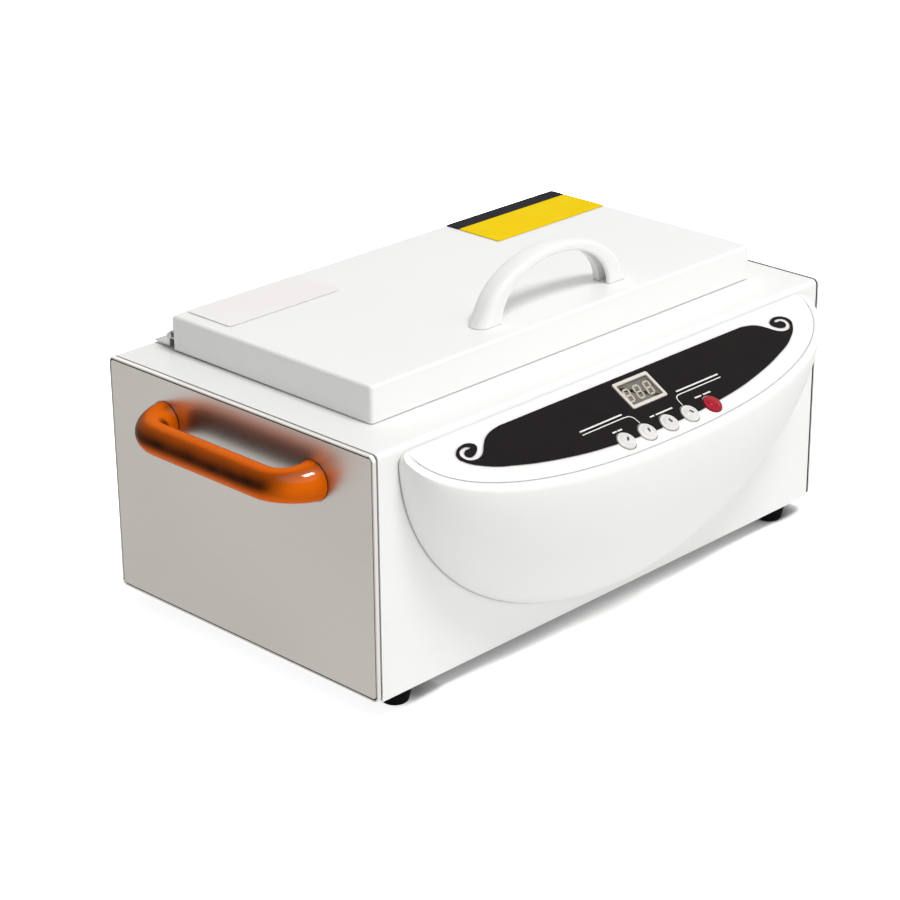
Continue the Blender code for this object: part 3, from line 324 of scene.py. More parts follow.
def newGroup(name, inputs, outputs):
    tree = bpy.data.node_groups.new(name, "ShaderNodeTree")
    for title, kind, value in inputs:
        socket = tree.interface.new_socket(name=title, in_out="INPUT", socket_type="NodeSocket" + kind)
        socket.default_value = value
    for title, kind in outputs:
        tree.interface.new_socket(name=title, in_out="OUTPUT", socket_type="NodeSocket" + kind)
    return tree, tree.nodes.new("NodeGroupInput"), tree.nodes.new("NodeGroupOutput")


def joinUp(tree, *links):
    # a link is the node and output that it leaves, then the node and input that it enters
    for start, leaving, end, entering in links:
        tree.links.new(start.outputs[leaving], end.inputs[entering])


def addNode(tree, kind, **settings):
    item = tree.nodes.new("ShaderNode" + kind)
    for setting, value in settings.items():
        if setting in item.inputs and not hasattr(item, setting):
            item.inputs[setting].default_value = value
        else:
            setattr(item, setting, value)
    return item


def setSockets(item, **values):
    for title, value in values.items():
        item.inputs[title.replace("_", " ")].default_value = value
    return item


def addRamp(tree, ends, results=(0.0, 1.0), kind="SMOOTHSTEP"):
    return setSockets(addNode(tree, "MapRange", interpolation_type=kind), From_Min=ends[0],
                      From_Max=ends[1], To_Min=results[0], To_Max=results[1])


def addMath(tree, operation, second=None):
    item = addNode(tree, "Math", operation=operation)
    if second is not None:
        item.inputs[1].default_value = second
    return item


def addMix(tree, toward=None, **settings):
    item = addNode(tree, "Mix", data_type="RGBA", **settings)
    if toward:
        item.inputs[7].default_value = fromScreen(*toward)
    return item


def addHollow(tree, reach, samples=8):
    return setSockets(addNode(tree, "AmbientOcclusion", samples=samples), Distance=reach)


def buildMottle():
    # large soft patches for colour and roughness, and a fine grain for the bump
    tree, given, result = newGroup(
        "mottle",
        [("Colour", "Color", (0.8, 0.8, 0.8, 1)), ("Tint", "Color", (0.7, 0.7, 0.7, 1)),
         ("Patch Scale", "Float", 20.0), ("Tint Amount", "Float", 0.5),
         ("Smooth", "Float", 0.3), ("Rough", "Float", 0.4),
         ("Grain Scale", "Float", 900.0), ("Grain Detail", "Float", 3.0)],
        [("Colour", "Color"), ("Roughness", "Float"), ("Height", "Float")])
    coords = addNode(tree, "TexCoord")
    patch = setSockets(addNode(tree, "TexNoise"), Detail=1.0, Roughness=0.4)
    grain = setSockets(addNode(tree, "TexNoise"), Roughness=0.6)
    spread = addRamp(tree, noiseReach)
    amount = addMath(tree, "MULTIPLY")
    mix = addMix(tree)
    rough = addNode(tree, "MapRange")
    joinUp(tree, (coords, "Object", patch, "Vector"), (coords, "Object", grain, "Vector"),
           (given, "Patch Scale", patch, "Scale"), (given, "Grain Scale", grain, "Scale"),
           (given, "Grain Detail", grain, "Detail"), (patch, "Fac", spread, "Value"),
           (spread, "Result", amount, 0), (given, "Tint Amount", amount, 1), (amount, "Value", mix, 0),
           (given, "Colour", mix, 6), (given, "Tint", mix, 7), (spread, "Result", rough, "Value"),
           (given, "Smooth", rough, "To Min"), (given, "Rough", rough, "To Max"),
           (mix, 2, result, "Colour"), (rough, "Result", result, "Roughness"),
           (grain, "Fac", result, "Height"))
    return tree


def buildBrushing():
    # long streaks drawn out along one axis, for brushed or rolled sheet
    tree, given, result = newGroup(
        "brushing",
        [("Stretch", "Vector", (1.0, 1.0, 1.0)), ("Scale", "Float", 400.0)],
        [("Streak", "Float")])
    coords = addNode(tree, "TexCoord")
    drawn = addNode(tree, "VectorMath", operation="MULTIPLY")
    streak = setSockets(addNode(tree, "TexNoise"), Detail=5.0, Roughness=0.65)
    joinUp(tree, (coords, "Object", drawn, 0), (given, "Stretch", drawn, 1),
           (drawn, "Vector", streak, "Vector"), (given, "Scale", streak, "Scale"),
           (streak, "Fac", result, "Streak"))
    return tree


mottleGroup = buildMottle()
brushingGroup = buildBrushing()
looks = {}


def newLook(name, values):
    # base shader, mottle and bump that every finish has
    look = bpy.data.materials.new(name)
    look.use_nodes = True
    tree = look.node_tree
    shader = setSockets(
        tree.nodes["Principled BSDF"], Metallic=values.get("metal", 0.0),
        Coat_Weight=values.get("coat", 0.0), Coat_Roughness=values.get("coatRough", 0.1),
        Specular_IOR_Level=values.get("specular", 0.5), Subsurface_Weight=values.get("soft", 0.0),
        Subsurface_Radius=(0.004, 0.003, 0.0025), Subsurface_Scale=1.0)
    mottle = setSockets(
        addNode(tree, "Group", node_tree=mottleGroup), Colour=fromScreen(*values["colour"]),
        Tint=fromScreen(*values["tint"]), Patch_Scale=values.get("patch", 20.0),
        Tint_Amount=values.get("amount", 0.5), Smooth=values["rough"][0], Rough=values["rough"][1],
        Grain_Scale=values.get("grain", 900.0), Grain_Detail=values.get("detail", 3.0))
    bump = setSockets(addNode(tree, "Bump"), Strength=values.get("bump", 0.15),
                      Distance=values.get("relief", 0.0002))
    joinUp(tree, (mottle, "Colour", shader, "Base Color"), (mottle, "Roughness", shader, "Roughness"),
           (mottle, "Height", bump, "Height"), (bump, "Normal", shader, "Normal"))
    looks[name] = look
    return tree, shader, mottle, bump


def addBrushing(name, values):
    # streaks lighten and darken the metal, roughen it and stand in its bump
    tree, shader, mottle, bump = newLook(name, values)
    brushing = setSockets(addNode(tree, "Group", node_tree=brushingGroup),
                          Stretch=values["stretch"], Scale=values["streaks"])
    shade = addRamp(tree, noiseReach, (1 - values["contrast"], 1.0), "LINEAR")
    tinted = addMix(tree, blend_type="MULTIPLY")
    tinted.inputs[0].default_value = 1.0
    grey = addNode(tree, "CombineColor")
    height = addMath(tree, "ADD")
    rough = addMath(tree, "MULTIPLY_ADD", values.get("streakRough", 0.12))
    joinUp(tree, (brushing, "Streak", shade, "Value"), (shade, "Result", grey, 0),
           (shade, "Result", grey, 1), (shade, "Result", grey, 2), (mottle, "Colour", tinted, 6),
           (grey, "Color", tinted, 7), (tinted, 2, shader, "Base Color"), (brushing, "Streak", height, 0),
           (mottle, "Height", height, 1), (height, "Value", bump, "Height"),
           (brushing, "Streak", rough, 0), (mottle, "Roughness", rough, 2),
           (rough, "Value", shader, "Roughness"))
    if "edgeHighlight" in values:
        paintRimHighlight(tree, shader, tinted, values)


def paintRimHighlight(tree, shader, tinted, values):
    # painted highlight and painted shade: the plate's rolled edge is painted brighter where it turns away
    # from the face, and the seam beside it is painted darker by ambient occlusion
    coords = addNode(tree, "TexCoord")
    split = addNode(tree, "SeparateXYZ")
    away = addMath(tree, "ABSOLUTE")
    mask = addRamp(tree, values["turned"])
    mix = addMix(tree, values["edgeHighlight"])
    hollow = addHollow(tree, values["seam"])
    paintedSeamShade = addRamp(tree, values["seamOpen"])
    seamShaded = addMix(tree, values["paintedSeamShade"])
    joinUp(tree, (coords, "Normal", split, 0), (split, "X", away, 0), (away, "Value", mask, "Value"),
           (mask, "Result", mix, 0), (tinted, 2, mix, 6), (hollow, "AO", paintedSeamShade, "Value"),
           (paintedSeamShade, "Result", seamShaded, 0), (mix, 2, seamShaded, 6), (seamShaded, 2, shader, "Base Color"))


plainFinishes = {
    "whiteEnamel": {"colour": (246, 246, 245), "tint": (242, 242, 240), "patch": 9.0,
                    "rough": (0.30, 0.38), "grain": 520.0, "detail": 1.5, "bump": 0.04,
                    "relief": 0.0003, "specular": 0.4},
    "whitePlastic": {"colour": (245, 245, 244), "tint": (243, 242, 240), "patch": 14.0,
                     "rough": (0.29, 0.33), "detail": 1.0, "bump": 0.01, "specular": 0.4},
    "blackFilm": {"colour": (33, 29, 30), "tint": (37, 33, 33), "patch": 60.0, "rough": (0.34, 0.44),
                  "grain": 2600.0, "bump": 0.08, "relief": 0.0001, "specular": 0.02},
    "panelPrint": {"colour": (236, 235, 231), "tint": (222, 221, 216), "patch": 300.0,
                   "rough": (0.45, 0.55)},
    "beigePlastic": {"colour": (222, 218, 208), "tint": (206, 200, 188), "patch": 90.0,
                     "rough": (0.35, 0.45), "grain": 1800.0, "bump": 0.06},
    "greyPlastic": {"colour": (122, 120, 114), "tint": (106, 103, 97), "patch": 120.0,
                    "rough": (0.40, 0.55), "grain": 1800.0, "bump": 0.10, "specular": 0.2},
    "digitBar": {"colour": (204, 194, 176), "tint": (190, 178, 160), "patch": 240.0, "rough": (0.30, 0.40)},
    "clearCap": {"colour": (232, 230, 228), "tint": (208, 205, 202), "patch": 160.0,
                 "rough": (0.14, 0.22), "coat": 0.2, "coatRough": 0.04},
    "capMark": {"colour": (70, 66, 62), "tint": (92, 86, 80), "patch": 400.0, "rough": (0.45, 0.60)},
    "redCap": {"colour": (172, 22, 42), "tint": (146, 10, 30), "patch": 160.0, "rough": (0.14, 0.22),
               "specular": 0.15},
    "yellowLabel": {"colour": (250, 214, 6), "tint": (246, 206, 4), "patch": 45.0, "rough": (0.40, 0.50),
                    "grain": 2200.0, "bump": 0.05, "specular": 0.01},
    "darkLabel": {"colour": (35, 35, 40), "tint": (42, 42, 47), "patch": 60.0, "rough": (0.40, 0.50),
                  "grain": 2200.0, "bump": 0.05, "specular": 0.01},
    "filmLabel": {"colour": (246, 243, 242), "tint": (243, 238, 237), "patch": 25.0,
                  "rough": (0.29, 0.38), "grain": 800.0, "bump": 0.04, "specular": 0.3},
    "blackRubber": {"colour": (14, 15, 14), "tint": (22, 23, 22), "patch": 90.0, "rough": (0.70, 0.88),
                    "grain": 1400.0, "bump": 0.35, "relief": 0.0003, "specular": 0.03},
    "blackPlastic": {"colour": (33, 33, 34), "tint": (45, 44, 44), "patch": 70.0, "rough": (0.42, 0.56),
                     "grain": 1900.0, "bump": 0.22, "specular": 0.3},
    "silicone": {"colour": (214, 112, 84), "tint": (198, 96, 70), "patch": 70.0,
                 "rough": (0.50, 0.66), "bump": 0.12, "soft": 0.1, "specular": 0.3},
    "mineralWool": {"colour": (206, 197, 170), "tint": (168, 156, 124), "patch": 60.0, "amount": 0.9,
                    "rough": (0.90, 1.00), "grain": 420.0, "detail": 8.0, "bump": 0.9, "relief": 0.0015},
    "boardGreen": {"colour": (36, 98, 62), "tint": (24, 78, 48), "patch": 160.0, "rough": (0.30, 0.42),
                   "grain": 700.0, "coat": 0.3},
}

metalFinishes = {
    "satinSteel": {"colour": (209, 205, 199), "tint": (198, 194, 187), "patch": 7.0, "amount": 0.8,
                   "rough": (0.275, 0.29), "streakRough": 0.04, "grain": 1600.0, "bump": 0.02,
                   # the rolled edge's bright colour is a painted highlight, and the seam's dark colour is
                   # painted shade
                   "edgeHighlight": (253, 250, 246), "turned": (0.90, 0.60), "paintedSeamShade": (92, 86, 78),
                   "seam": 0.0018, "seamOpen": (0.82, 0.45),
                   "stretch": (1.0, 0.04, 1.0), "streaks": 900.0, "contrast": 0.05},
    "brightSteel": {"colour": (200, 198, 194), "tint": (188, 185, 180), "patch": 12.0,
                    "rough": (0.28, 0.31), "streakRough": 0.06, "grain": 1200.0, "bump": 0.04,
                    "stretch": (0.05, 1.0, 1.0), "streaks": 700.0, "contrast": 0.08},
    "zincPlate": {"colour": (216, 216, 214), "tint": (194, 196, 196), "patch": 70.0, "amount": 0.8,
                  "rough": (0.34, 0.48), "grain": 1000.0,
                  "stretch": (0.2, 1.0, 1.0), "streaks": 260.0, "contrast": 0.12},
    "heaterSheath": {"colour": (118, 114, 110), "tint": (88, 80, 74), "patch": 50.0, "amount": 0.9,
                     "rough": (0.42, 0.60), "bump": 0.2,
                     "stretch": (0.3, 1.0, 1.0), "streaks": 300.0, "contrast": 0.2},
}

# the dark colour and the table of amounts by normal height are painted shade; the coat strength raised
# toward one normal is a painted highlight
amberPlastic = {"colour": (232, 106, 4), "tint": (218, 94, 2), "patch": 35.0, "rough": (0.20, 0.26),
                "grain": 1200.0, "bump": 0.01, "specular": 0.01, "coatRough": 0.06, "coats": (0.06, 0.95),
                "paintedGlint": (-0.364, -0.596, 0.716), "paintedGlintReach": (0.93, 0.98),
                "dark": (8, 2, 0), "back": (-0.04, -0.12), "backDepth": 0.85, "outer": (-0.01, 0.03),
                "bend": (-0.82, -0.26), "shadeByRise": [(-0.60, 0.0), (-0.36, 0.15), (-0.13, 0.60), (0.06, 0.93),
                                                 (0.23, 1.0), (0.39, 0.95), (0.51, 0.87), (0.66, 0.74),
                                                 (0.78, 0.66), (0.88, 0.52), (0.96, 0.13), (1.0, 0.0)]}


def buildAmber(values):
    # amber moulding with painted shade: the colour is darkened along the outer flank by the height of its
    # normal, less where the bend faces the front, broken by faint streaks, and on the side that faces the
    # plate
    tree, shader, mottle = newLook("amberPlastic", values)[:3]
    coords = addNode(tree, "TexCoord")
    way = addNode(tree, "SeparateXYZ")
    place = addNode(tree, "SeparateXYZ")
    outward = addMath(tree, "MULTIPLY")
    ramps = {name: addRamp(tree, values[name]) for name in ("outer", "back", "bend")}
    level = addRamp(tree, (-1.0, 1.0), kind="LINEAR")
    shadeByRise = addNode(tree, "ValToRGB")
    shadeByRise.color_ramp.elements.remove(shadeByRise.color_ramp.elements[1])
    for step, (rise, amount) in enumerate(values["shadeByRise"]):
        spot = shadeByRise.color_ramp.elements.new((rise + 1) / 2) if step else shadeByRise.color_ramp.elements[0]
        spot.position = (rise + 1) / 2
        spot.color = (amount, amount, amount, 1)
    streak = setSockets(addNode(tree, "TexNoise"), Scale=60.0, Detail=1.0)
    ragged = addRamp(tree, (0.3, 0.6), (0.90, 0.99), "LINEAR")
    flank, turned, front = (addMath(tree, "MULTIPLY") for step in range(3))
    behind = addMath(tree, "MULTIPLY", values["backDepth"])
    mask = addMath(tree, "MAXIMUM")
    mix = addMix(tree, values["dark"])
    facing = addNode(tree, "VectorMath", operation="DOT_PRODUCT")
    facing.inputs[1].default_value = values["paintedGlint"]       # painted highlight: the coat is strong only where the front bend's top faces halfway between the camera and the key lamp
    paintedGlint = addRamp(tree, values["paintedGlintReach"], values["coats"])
    joinUp(tree, (coords, "Normal", facing, 0), (facing, "Value", paintedGlint, "Value"),
           (paintedGlint, "Result", shader, "Coat Weight"), (coords, "Normal", way, 0),
           (coords, "Object", place, 0), (coords, "Object", streak, "Vector"), (way, "X", outward, 0),
           (place, "X", outward, 1), (way, "Z", level, "Value"), (level, "Result", shadeByRise, 0),
           (outward, "Value", ramps["outer"], "Value"), (outward, "Value", ramps["back"], "Value"),
           (way, "Y", ramps["bend"], "Value"), (streak, "Fac", ragged, "Value"),
           (shadeByRise, "Color", flank, 0), (ramps["outer"], "Result", flank, 1), (flank, "Value", turned, 0),
           (ramps["bend"], "Result", turned, 1), (turned, "Value", front, 0),
           (ragged, "Result", front, 1), (ramps["back"], "Result", behind, 0), (front, "Value", mask, 0),
           (behind, "Value", mask, 1), (mask, "Value", mix, 0), (mottle, "Colour", mix, 6),
           (mix, 2, shader, "Base Color"))


# painted shade in the corner where the half moon meets the case
seamShade = {"reach": 0.0018, "open": (0.95, 0.45), "paintedSeamShade": (190, 186, 185),
             "top": (0.1415, 0.1415 - 0.002), "end": (0.172, 0.172 - 0.002)}


def paintSeamShade(name, values):
    # painted shade: the corner between the half moon and the case is darkened by ambient occlusion; the
    # lid's gap and the ends are not
    tree = looks[name].node_tree
    shader = tree.nodes["Principled BSDF"]
    coords = addNode(tree, "TexCoord")
    place = addNode(tree, "SeparateXYZ")
    across = addMath(tree, "ABSOLUTE")
    inside = addRamp(tree, values["end"], kind="LINEAR")
    under = addRamp(tree, values["top"], kind="LINEAR")
    hollow = addHollow(tree, values["reach"])
    ramp = addRamp(tree, values["open"])
    near, kept = (addMath(tree, "MULTIPLY") for step in range(2))
    mix = addMix(tree, values["paintedSeamShade"])
    tree.links.new(shader.inputs["Base Color"].links[0].from_socket, mix.inputs[6])
    joinUp(tree, (coords, "Object", place, 0), (place, "X", across, 0),
           (across, "Value", inside, "Value"), (place, "Z", under, "Value"), (inside, "Result", near, 0),
           (under, "Result", near, 1), (hollow, "AO", ramp, "Value"), (near, "Value", kept, 0),
           (ramp, "Result", kept, 1), (kept, "Value", mix, 0), (mix, 2, shader, "Base Color"))


for finishName, finishValues in plainFinishes.items():
    newLook(finishName, finishValues)
for finishName, finishValues in metalFinishes.items():
    addBrushing(finishName, {"metal": 1.0, "relief": 0.0001, **finishValues})
buildAmber(amberPlastic)
# the white plastic and the white enamel get painted shade where the half moon meets the case
for finishName in ("whitePlastic", "whiteEnamel"):
    paintSeamShade(finishName, seamShade)
print("materials made:", len(looks))


# Case

caseShape = {"sheet": 0.001, "bend": 0.003, "bendSteps": 8, "tankRim": 0.010, "mouthReach": 0.003,
             "mouthCorner": 0.015, "inlet": (0.014, 0.0105)}


def makeBodyShell(values):
    shell = boxPiece("paintedWrapper", shellLow, shellHigh)
    editMesh(shell)
    choose(shell, "FACE", lambda face: face.normal.z < -0.9 or abs(face.normal.x) > 0.9)
    bpy.ops.mesh.delete(type="FACE")
    choose(shell, "EDGE", lambda edge: along(0)(edge) and edgeAt(2, shellHigh.z)(edge))
    roundEdges(values["bend"], values["bendSteps"])
    leaveEdit()
    changed(shell, "SOLIDIFY", thickness=values["sheet"], offset=-1.0, use_even_offset=True)
    reach = tankHigh.x - values["tankRim"] + values["mouthReach"]
    middleY = (tankLow.y + tankHigh.y) / 2
    reachY = tankHigh.y - middleY - values["tankRim"] + values["mouthReach"]
    mouth = flatPiece("mouthCutter", [roundedOutline(2 * reach, 2 * reachY, values["mouthCorner"])],
                      2 * cut)
    placed(mouth, Matrix.Translation((0.0, middleY, shellHigh.z)))
    inlet = middleOf("power_inlet")
    half = Vector((values["inlet"][0], cut, values["inlet"][1]))
    inlet.y = shellHigh.y
    hole = boxPiece("inletCutter", inlet - half, inlet + half)
    carve(shell, mouth, hole)
    smoothed(shell, 30, True)
    settle(shell, "whiteEnamel", "case", "white_enamel", "body_shell")


endShape = {"rimDepth": 0.0021, "level": 0.0003, "corner": 0.0036, "edge": 0.0008, "sheet": 0.001,
            "flangeIn": 0.0027, "flangeReach": 0.0274, "beadWidth": 0.0010, "groove": 0.0005,
            "grooveDepth": 0.0009, "outerBand": 0.0006}


def makeEndPlate(values):
    low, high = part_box("end_plate_left")
    inward = Vector((0.0, values["level"], values["level"]))
    low, high = low + inward, high - inward
    back = low.x + values["rimDepth"]
    plate = roundedBox("endPlateLeft", low, (back, high.y, high.z), (along(0), values["corner"], 8))
    choose(plate, "FACE", facing(0, 1))
    bpy.ops.mesh.inset(thickness=values["flangeIn"])       # the flange goes on from the rim's back
    extrudeBy(values["flangeReach"], 0, 0)
    bpy.ops.mesh.inset(thickness=values["sheet"])
    extrudeBy(-values["flangeReach"] - values["rimDepth"] + values["sheet"], 0, 0)
    choose(plate, "FACE", lambda face: face.normal.x < -0.9 and face.calc_area() > 0.01)
    bpy.ops.mesh.inset(thickness=values["beadWidth"])
    bpy.ops.mesh.inset(thickness=values["groove"], depth=-values["grooveDepth"])
    bpy.ops.mesh.inset(thickness=values["groove"], depth=values["grooveDepth"])
    choose(plate, "EDGE", lambda edge: edgeAt(0, low.x)(edge)
           and rimDistance(edge, low, high) <= values["outerBand"])
    roundEdges(values["edge"], 4)
    leaveEdit()
    smoothed(plate, 50, True)
    settleBoth(plate, "endPlate", "satinSteel", "satin_steel", "end_plate")


def rimDistance(edge, low, high):
    middle = (edge.verts[0].co + edge.verts[1].co) / 2
    return min(middle.y - low.y, high.y - middle.y, middle.z - low.z, high.z - middle.z)


handleShape = {"radius": 0.00875, "flare": 1.25, "flareReach": 0.023, "bend": 0.0181, "out": 0.0187,
               "sides": 48, "bendSteps": 16, "barSteps": 4}


def swellLeg(handle, values, start, inward):
    # each ring near the plate is opened about its own middle, most at the plate
    straight = values["out"] - values["bend"]
    rings = [(0.0, 0.0)]
    rings += [(straight, quarterTurn * step / values["bendSteps"]) for step in range(values["bendSteps"])]
    for reach, turn in rings:
        run = reach + values["bend"] * turn
        if run > values["flareReach"]:
            break
        middle = start + Vector((-reach - values["bend"] * math.sin(turn),
                                 inward * values["bend"] * (1 - math.cos(turn)), 0.0))
        way = Vector((-math.cos(turn), inward * math.sin(turn), 0.0))
        choose(handle, "VERT", lambda vert: abs((vert.co - middle).dot(way)) < onLevel
               and (vert.co - middle).length < 1.5 * values["radius"])
        ratio = 1 + (values["flare"] - 1) * (1 - run / values["flareReach"]) ** 2
        bpy.ops.transform.resize(value=(ratio, ratio, ratio), center_override=middle)


def makeEndHandle(values):
    low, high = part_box("end_handle_left")
    foot = high.x
    legFront = low.y + values["radius"] * values["flare"]
    legRear = high.y - values["radius"] * values["flare"]
    level = (low.z + high.z) / 2
    straight = values["out"] - values["bend"]
    deselect()
    bpy.ops.mesh.primitive_circle_add(vertices=values["sides"], radius=values["radius"], fill_type="NGON",
                                      location=(foot, legRear, level), rotation=(0, quarterTurn, 0))
    handle = applyPlace(named("endHandleLeft"))
    editMesh(handle)
    selectAll()
    extrudeBy(-straight, 0, 0)
    turnX = foot - straight
    bpy.ops.mesh.spin(steps=values["bendSteps"], angle=quarterTurn, axis=(0, 0, -1),
                      center=(turnX, legRear - values["bend"], level))
    run = legRear - legFront - 2 * values["bend"]
    for step in range(values["barSteps"]):
        extrudeBy(0, -run / values["barSteps"], 0)
    bpy.ops.mesh.spin(steps=values["bendSteps"], angle=quarterTurn, axis=(0, 0, -1),
                      center=(turnX, legFront + values["bend"], level))
    extrudeBy(straight, 0, 0)
    swellLeg(handle, values, Vector((foot, legRear, level)), -1)
    swellLeg(handle, values, Vector((foot, legFront, level)), 1)
    closeUp()
    leaveEdit()
    smoothed(handle, 40)
    settleBoth(handle, "endHandle", "amberPlastic", "amber_plastic", "end_handle")


footShape = {"top": 0.0096, "topRound": 0.0005, "low": 0.0077, "round": 0.0020, "roundSteps": 6,
             "hole": 0.0018, "well": 0.0045, "wellRound": 0.0005, "under": 0.0043}


def makeFeet(values):
    for row in ("front", "rear"):
        for end in ("left", "right"):
            node = f"foot_{row}_{end}"
            middle = middleOf(node)
            top, hole, well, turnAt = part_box(node)[1].z, values["hole"], values["well"], values["round"]
            under = top - values["under"]
            profile = [(hole, top), (values["top"] - values["topRound"], top),
                       (values["top"], top - values["topRound"])]
            for step in range(values["roundSteps"] + 1):
                turn = quarterTurn * step / values["roundSteps"]
                profile.append((values["low"] - turnAt + turnAt * math.cos(turn),
                                turnAt - turnAt * math.sin(turn)))
            profile += [(well + values["wellRound"], 0.0), (well, values["wellRound"]), (well, under),
                        (hole, under), (hole, top)]
            foot = spunPiece("rubber" + node.title().replace("_", ""), profile)
            placed(foot, Matrix.Translation((middle.x, middle.y, 0.0)))
            settle(foot, "blackRubber", "case", "black_rubber", node)


makeBodyShell(caseShape)
makeEndPlate(endShape)
makeEndHandle(handleShape)
makeFeet(footShape)
print("case made")


# Lid

lidShape = {"corner": 0.0022, "edge": 0.0017, "sheet": 0.001, "frontDrop": 0.0006}


def makeLidShell(values):
    lid = roundedBox("lidShell", lidLow, lidHigh, (along(2), values["corner"], 6),
                     (edgeAt(2, lidHigh.z), values["edge"], 6))
    choose(lid, "FACE", facing(2, -1))
    bpy.ops.mesh.delete(type="FACE")
    leaveEdit()
    changed(lid, "SOLIDIFY", thickness=values["sheet"], offset=-1.0, use_even_offset=True)
    editMesh(lid)
    choose(lid, "VERT", lambda vert: vert.co.z < lidLow.z + values["sheet"]
           and vert.co.y < lidLow.y + values["corner"] + values["sheet"])
    bpy.ops.transform.translate(value=(0, 0, -values["frontDrop"]))
    leaveEdit()
    smoothed(lid, 40, True)
    settle(lid, "whiteEnamel", "lid", "white_enamel", "lid_shell")


archShape = {"sides": 96, "inner": (0.0428, 0.0280), "flare": 0.0034, "flareTop": 0.0095,
             "flareRows": 5, "flareFrom": 0.006, "round": 40, "roundSteps": 8, "innerRound": 0.0014,
             "channel": (0.0058, 0.0062, 0.0020), "channelAt": -0.0012, "channelSteps": 48,
             "channelLow": -0.002}


def makeLidHandle(values):
    low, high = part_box("lid_handle")
    middle = (low + high) / 2
    outer = ((high.x - low.x) / 2 - values["flare"], high.z - low.z)
    inner = values["inner"]
    deselect()
    upright = (quarterTurn, 0, 0)
    bpy.ops.mesh.primitive_circle_add(vertices=values["sides"], radius=1, rotation=upright)
    arch = applyPlace(named("lidHandle"))
    editMesh(arch)
    selectAll()
    bpy.ops.transform.resize(value=(outer[0], 1, outer[1]), center_override=(0, 0, 0))
    bpy.ops.mesh.select_all(action="DESELECT")
    bpy.ops.mesh.primitive_circle_add(vertices=values["sides"], radius=1, rotation=upright)
    bpy.ops.transform.resize(value=(inner[0], 1, inner[1]), center_override=(0, 0, 0))
    selectAll()
    bpy.ops.mesh.bridge_edge_loops()
    selectAll()
    bpy.ops.mesh.bisect(plane_co=(0, 0, 0), plane_no=(0, 0, 1), clear_inner=True)
    selectAll()
    extrudeBy(0, high.y - low.y, 0)
    closeUp()
    for step in range(values["flareRows"]):  # the legs spread where they meet the lid
        level = outer[1] * math.sin(2 * math.pi * step / values["sides"])
        for side in (-1, 1):
            choose(arch, "VERT", lambda vert: abs(vert.co.z - level) < 0.0001
                   and vert.co.x * side > inner[0] + values["flareFrom"])
            spread = side * values["flare"] * (1 - level / values["flareTop"]) ** 2
            bpy.ops.transform.translate(value=(spread, 0, 0))

    def rimEdge(edge, outside):
        share = sum((vert.co.x / (outer[0] + inner[0]) * 2) ** 2
                    + (vert.co.z / (outer[1] + inner[1]) * 2) ** 2 for vert in edge.verts) / 2
        return (not along(1)(edge) and edge.calc_face_angle(0) > 1.0 and (share > 1) == outside
                and max(vert.co.z for vert in edge.verts) > 0.0001)

    choose(arch, "EDGE", lambda edge: rimEdge(edge, False))
    roundEdges(values["innerRound"], 4)
    choose(arch, "EDGE", lambda edge: rimEdge(edge, True))
    bpy.ops.mesh.bevel(offset_type="PERCENT", offset_pct=values["round"], segments=values["roundSteps"],
                       profile=0.5, affect="EDGES")
    leaveEdit()
    width, deep, crown = values["channel"]
    count = values["channelSteps"]
    turns = [math.pi * step / count for step in range(count + 1)]
    hollow = [((inner[0] + deep) * math.cos(turn), (inner[1] + crown) * math.sin(turn)) for turn in turns]
    hollow += [(side * (inner[0] + deep), values["channelLow"]) for side in (-1, 1)]
    cutter = flatPiece("channelCutter", [hollow], width)
    across = Matrix.Translation((0, middle.y - low.y + values["channelAt"], 0))
    placed(cutter, across @ Matrix.Rotation(quarterTurn, 4, "X"))
    carve(arch, cutter)
    placed(arch, Matrix.Translation((middle.x, low.y, low.z)))
    smoothed(arch, 45)
    settle(arch, "whitePlastic", "lid", "white_plastic", "lid_handle")


labelShape = {"edge": 0.0001,
              "kinds": (("cautionPlate", "yellowLabel", "yellow_label", "lid_label", 0.0012),
                        ("cautionBand", "darkLabel", "dark_label", "lid_label_band", 0.0012),
                        ("clearFilm", "filmLabel", "film_label", "film_label", 0.003))}


def makeLabels(values):
    for name, look, slot, node, corner in values["kinds"]:
        low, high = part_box(node)
        label = roundedBox(name, low, high, (along(2), corner, 4),
                           (edgeAt(2, high.z), values["edge"], 2))
        leaveEdit()
        smoothed(label, 40, True)
        settle(label, look, "lid", slot, node)


makeLidShell(lidShape)
makeLidHandle(archShape)
makeLabels(labelShape)
print("lid made")


# Control housing and what sits on its face

housingShape = {"topEdge": 0.0007, "lipHalf": 0.1635, "lipDepth": 0.0572, "lipPower": 2.3,
                "printHalf": 0.163, "printDepth": 0.1267, "printPower": 2.03, "bowlPower": 1.6,
                "corner": 0.007, "lipRound": 0.0046, "roundSteps": 6, "creaseIn": 0.001,
                "creaseCorner": 0.003, "wall": 0.0022, "turns": 120, "sweeps": 16,
                "firstSweep": math.radians(85.5), "hollowTop": 0.003, "hollowTurns": 40,
                "hollowSweeps": 8, "hollowPast": 0.002, "crowd": 0.8,
                "groove": [(0.0, 0.0), (0.00015, -0.00045), (0.00055, -0.00050), (0.0008, -0.00008)]}


def halfMoon(turn, halfWidth, depth, power, corner):
    across = halfWidth * abs(math.cos(turn)) ** (2 / power)
    down = depth * abs(math.sin(turn)) ** (2 / power)
    if down < corner:
        across -= corner - math.sqrt(corner ** 2 - (corner - down) ** 2)
    return math.copysign(across, math.cos(turn)), down


def moonTurns(count):
    shares = [step / count for step in range(count + 1)]
    crowd = housingShape["crowd"]            # points stand closer at both ends of the curve
    return [math.pi * (share - crowd * math.sin(2 * math.pi * share) / (2 * math.pi)) for share in shares]


def onFace(across, down, height=0.0):
    return faceFrame @ Vector((across, -down, height))


def faceMove(across, down, height=0.0):
    return faceFrame @ Matrix.Translation((across, -down, height))


